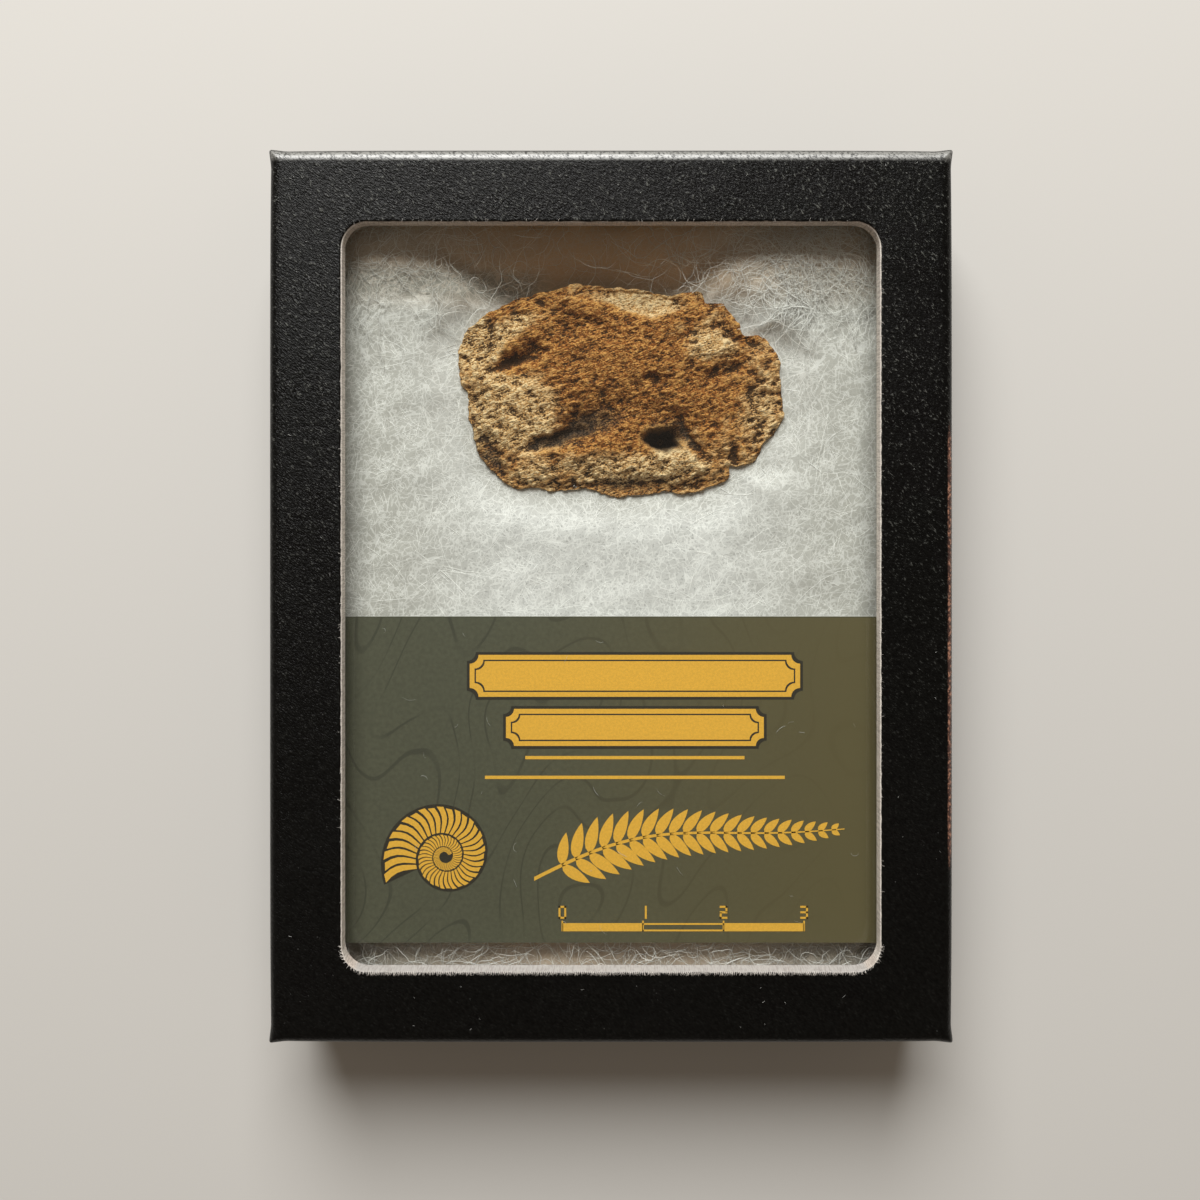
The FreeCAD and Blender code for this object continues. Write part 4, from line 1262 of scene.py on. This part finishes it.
def coil(radius, angle):
    """Distance from the middle of a shell's coil, angle radians round it from its mouth."""
    return radius * math.exp(-math.log(2.3) / (2 * math.pi) * angle)


def on_coil(middle, out, angle):
    """A point of the coil: its mouth points down to the left, and it winds clockwise."""
    turn = math.radians(205) - angle
    return middle[0] + out * math.cos(turn), middle[1] + out * math.sin(turn)


def ammonite(middle, radius):
    """A coiled shell drawn as ribs: one curved plate for each, smaller towards the middle."""
    rib = math.radians(10.5)
    outlines = []
    for number in range(86):
        edges = []
        for share in (0.08, 0.8):
            edge = []
            for step in range(6):
                inward = step / 5
                angle = (number + share) * rib + 0.5 * rib * math.sin(math.pi * inward)
                outer = coil(radius, angle) * (1 + 0.012 * math.cos(number * math.pi))
                inner = coil(radius, angle + 2 * math.pi) * 1.1
                edge.append(on_coil(middle, outer + (inner - outer) * inward, angle))
            edges.append(edge)
        outlines.append(edges[0][::-1] + edges[1])
    return outlines


def fern(start, end, rise):
    """A frond: a bowed stem with pointed leaflets that shorten towards its tip."""
    (from_x, from_y), (to_x, to_y) = start, end

    def stem(share):
        """A point on the bowed stem."""
        bow = rise * math.sin(math.pi * share) + 0.8 * math.sin(2 * math.pi * share)
        return from_x + (to_x - from_x) * share, from_y + (to_y - from_y) * share + bow

    def half_stem(side):
        """One edge of the stem, which tapers towards the tip."""
        shares = [i / 30 for i in range(31)]
        return [(stem(s)[0], stem(s)[1] + side * (0.24 - 0.18 * s)) for s in shares]

    outlines = [half_stem(-1) + half_stem(1)[::-1]]
    for number in range(21):
        share = 0.09 + 0.87 * number / 20
        here, ahead = stem(share), stem(min(1.0, share + 0.02))
        along = math.atan2(ahead[1] - here[1], ahead[0] - here[0])
        reach = 4.6 * (1 - share) ** 0.6 * min(1.0, 0.55 + 3 * share) + 0.5
        wide = 0.2 + 0.12 * reach
        for side in (1, -1):
            lean = along + side * math.radians(66 - 22 * share)
            edge = []
            for step in range(9):
                part = step / 8
                swell = wide * math.sin(math.pi * part**0.75) ** 0.8
                edge.append((part * reach, swell, 0.11 * side * part * part * reach))
            leaf = [(a, b + c) for a, b, c in edge] + [(a, c - b) for a, b, c in edge[-2:0:-1]]
            out, up = math.cos(lean), math.sin(lean)
            leaned = [(a * out + b * up, a * up - b * out) for a, b in leaf]
            outlines.append([(here[0] + a, here[1] + b) for a, b in leaned])
    return outlines


def box_outline(left, foot, right, head):
    """A rectangle from its sides."""
    return [(left, foot), (right, foot), (right, head), (left, head)]


def scale_bar(left, foot, blocks, tall):
    """A centimetre scale with plain numbers: filled and open blocks in turn."""
    outlines = []
    for block in range(blocks):
        start, end = left + 10 * block, left + 10 * block + 10
        if block % 2 == 0:
            outlines.append(box_outline(start, foot, end, foot + tall))
        else:
            outlines.append(box_outline(start, foot, end, foot + 0.2))
            outlines.append(box_outline(start, foot + tall - 0.2, end, foot + tall))
    # Bars of a number: head, upper right, lower right, foot, lower left, upper left, middle.
    bars = ("1111110", "0110000", "1101101", "1111001")
    wide, high, pen = 0.95, 1.6, 0.24
    middle = high / 2
    places = (
        (0, high - pen, wide, high),
        (wide - pen, middle, wide, high),
        (wide - pen, 0, wide, middle),
        (0, 0, wide, pen),
        (0, 0, pen, middle),
        (0, middle, pen, high),
        (0, middle - pen / 2, wide, middle + pen / 2),
    )
    for number in range(blocks + 1):
        mark = left + 10 * number
        outlines.append(box_outline(mark - 0.1, foot, mark + 0.1, foot + tall + 0.3))
        at_x, at_y = mark - wide / 2, foot + tall + 0.55
        for shown, (x0, y0, x1, y1) in zip(bars[number], places):
            if shown == "1":
                outlines.append(box_outline(at_x + x0, at_y + y0, at_x + x1, at_y + y1))
    return outlines


def build_print():
    """The card's print: bare name fields, an ammonite, a fern and a scale with plain numbers."""
    # The name fields: middle x and y, width, height and corner bite in mm.
    fields = [(3.0, -10.2, 41.0, 5.2, 1.1), (3.0, -16.6, 32.0, 4.6, 1.0)]
    shell, shell_radius = (-20.6, -32.6), 7.9
    plates, shadows, lines, insides = (
        [cartouche(*field, margin) for field in fields] for margin in (0.0, 0.35, -0.6, -0.78)
    )
    rules = [box_outline(-10.6, -20.55, 16.6, -20.15), box_outline(-15.6, -23.0, 21.6, -22.6)]
    frond = fern((-9.5, -35.4), (29.0, -29.2), 2.6)
    gold = plates + rules + ammonite(shell, shell_radius) + frond + scale_bar(-6.0, -41.9, 3, 1.0)
    # The shell's dark ground: one turn round its outer edge.
    turns = [math.radians(6 * i) for i in range(61)]
    ground = [on_coil(shell, coil(shell_radius + 0.1, a) + 0.3, a) for a in turns][::-1]
    dark_toner = ink_material("dark_olive_toner", linear("#26241a"))
    gold_toner = ink_material("gold_toner", settings("contents").gold)
    # From the lowest print up, with how far below the top of the card's box each one ends.
    for name, outlines, below_mm, material in (
        ("card_dark_print", [*shadows, ground], 0.016, dark_toner),
        ("card_gold_print", gold, 0.01, gold_toner),
        ("card_dark_lines", lines, 0.005, dark_toner),
        ("card_gold_fields", insides, 0.0, gold_toner),
    ):
        points, faces = prisms(outlines, CARD_HIGH.z - 0.1 * MM, CARD_HIGH.z - below_mm * MM)
        piece = add_piece(name, points, faces, "tray", [material], smooth=False)
        weld(piece, 0.0)


def build_stage():
    """A plain pale floor, one soft lamp beyond the box's head, and the camera over the lid."""
    stage, scene = settings("stage"), bpy.context.scene
    material, node = blank_material("pale_matt_floor")
    finish_surface(node, stage.floor, 0.9, IOR=1.45)
    mesh = bpy.data.meshes.new("floor")
    half = 3.0
    corners = [(-half, -half, 0), (half, -half, 0), (half, half, 0), (-half, half, 0)]
    mesh.from_pydata(corners, [], [(0, 1, 2, 3)])
    mesh.materials.append(material)
    floor = bpy.data.objects.new("floor", mesh)
    scene.collection.objects.link(floor)
    floor.location.z = -0.05 * MM

    light = bpy.data.lights.new("head_lamp", "AREA")
    light.shape, light.size, light.energy = "DISK", 0.52, 10.0
    light.color = (1.0, 0.995, 0.975)
    lamp = bpy.data.objects.new("head_lamp", light)
    lamp.location = (-0.06, 0.585, 0.52)
    lamp.rotation_mode = "QUATERNION"
    lamp.rotation_quaternion = (-lamp.location).to_track_quat("-Z", "Y")
    scene.collection.objects.link(lamp)
    scene.world = bpy.data.worlds.new("studio")
    scene.world.use_nodes = True
    sky = scene.world.node_tree.nodes["Background"]
    sky.inputs["Color"].default_value = (1.0, 0.83, 0.66, 1)
    sky.inputs["Strength"].default_value = 0.19

    lens = bpy.data.cameras.new("camera")
    camera = bpy.data.objects.new("camera", lens)
    scene.collection.objects.link(camera)
    aside, below = -1.33 * MM, 0.36 * MM
    camera.location = (aside, stage.camera_ahead, LID_HIGH.z + stage.camera_height)
    camera.rotation_euler = (0, 0, 0)
    lens.sensor_fit, lens.sensor_width = "HORIZONTAL", 36.0
    lens.lens = lens.sensor_width * stage.camera_height / stage.view_width
    lens.shift_y = -(stage.camera_ahead + below) / stage.view_width
    lens.clip_start = 5 * MM
    scene.camera = camera
    scene.view_settings.view_transform = "Standard"


def finish_nodes():
    """Gives the pieces that keep their packed solids their real surfaces."""
    glass = glass_material()
    board = raw_board_material("greyboard_sheet", linear("#a39582"), linear("#8a7c6a"), 0.03)
    white = plain_paper_material("white_lining_paper", linear("#e2e1dc"))
    kraft = plain_paper_material("kraft_stay_paper", linear("#a37f57"))
    finishes = {
        "glass_pane": glass,
        "glass_strip": board,
        "tray_board": board,
        "tray_lining": white,
        "lid_corner_stay": kraft,
        "tray_corner_stay": kraft,
    }
    for name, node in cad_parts.items():
        for start, material in finishes.items():
            if name.startswith(start):
                node.data.materials.clear()
                node.data.materials.append(material)


# --- the add-on -------------------------------------------------------------------------------


def make_operator(label, build):
    """An operator class that runs one build function and takes its name and text from it."""

    def execute(self, context):
        """Runs the build function."""
        build()
        return {"FINISHED"}

    name = build.__name__.removeprefix("build_")
    said = {"__doc__": build.__doc__, "bl_idname": "riker." + name, "bl_label": label}
    return type("RIKER_OT_" + name, (bpy.types.Operator,), {**said, "execute": execute})


OPERATORS = [
    make_operator("Stage", build_stage),
    make_operator("Inner boards", finish_nodes),
    make_operator("Lid board", build_lid_board),
    make_operator("Lid paper", build_lid_paper),
    make_operator("Tray paper", build_tray_paper),
    make_operator("Fibre batt", build_batt),
    make_operator("Fibre strands", build_strands),
    make_operator("Fossil bone", build_bone),
    make_operator("Specimen card", build_card),
    make_operator("Card print", build_print),
    make_operator("Window fuzz", build_fuzz),
    make_operator("Lint", build_lint),
]


class RIKER_PT_panel(bpy.types.Panel):
    """Lists the settings and the pieces in the 3D view's sidebar."""

    bl_idname = "RIKER_PT_panel"
    bl_label = "Riker Mount"
    bl_space_type = "VIEW_3D"
    bl_region_type = "UI"
    bl_category = "Riker Mount"

    def draw(self, context):
        """Draws every setting and a button for every operator."""
        for group in GROUPS:
            held = settings(group)
            for key in held.__annotations__:
                self.layout.prop(held, key)
        for operator in OPERATORS:
            self.layout.operator(operator.bl_idname)


GROUPS = {"box": RIKER_PG_box, "contents": RIKER_PG_contents, "stage": RIKER_PG_stage}
CLASSES = [*GROUPS.values(), *OPERATORS, RIKER_PT_panel]


def register():
    """Registers the classes and hangs the settings on the scene."""
    for item in CLASSES:
        bpy.utils.register_class(item)
    for name, group in GROUPS.items():
        setattr(bpy.types.Scene, "riker_" + name, bpy.props.PointerProperty(type=group))


def unregister():
    """Takes the settings and the classes away again."""
    for name in GROUPS:
        delattr(bpy.types.Scene, "riker_" + name)
    for item in reversed(CLASSES):
        bpy.utils.unregister_class(item)


def main():
    """Builds every piece in order and writes down how large the result is."""
    register()
    for operator in OPERATORS:
        group, name = operator.bl_idname.split(".")
        getattr(getattr(bpy.ops, group), name)()


if __name__ == "__main__":
    main()
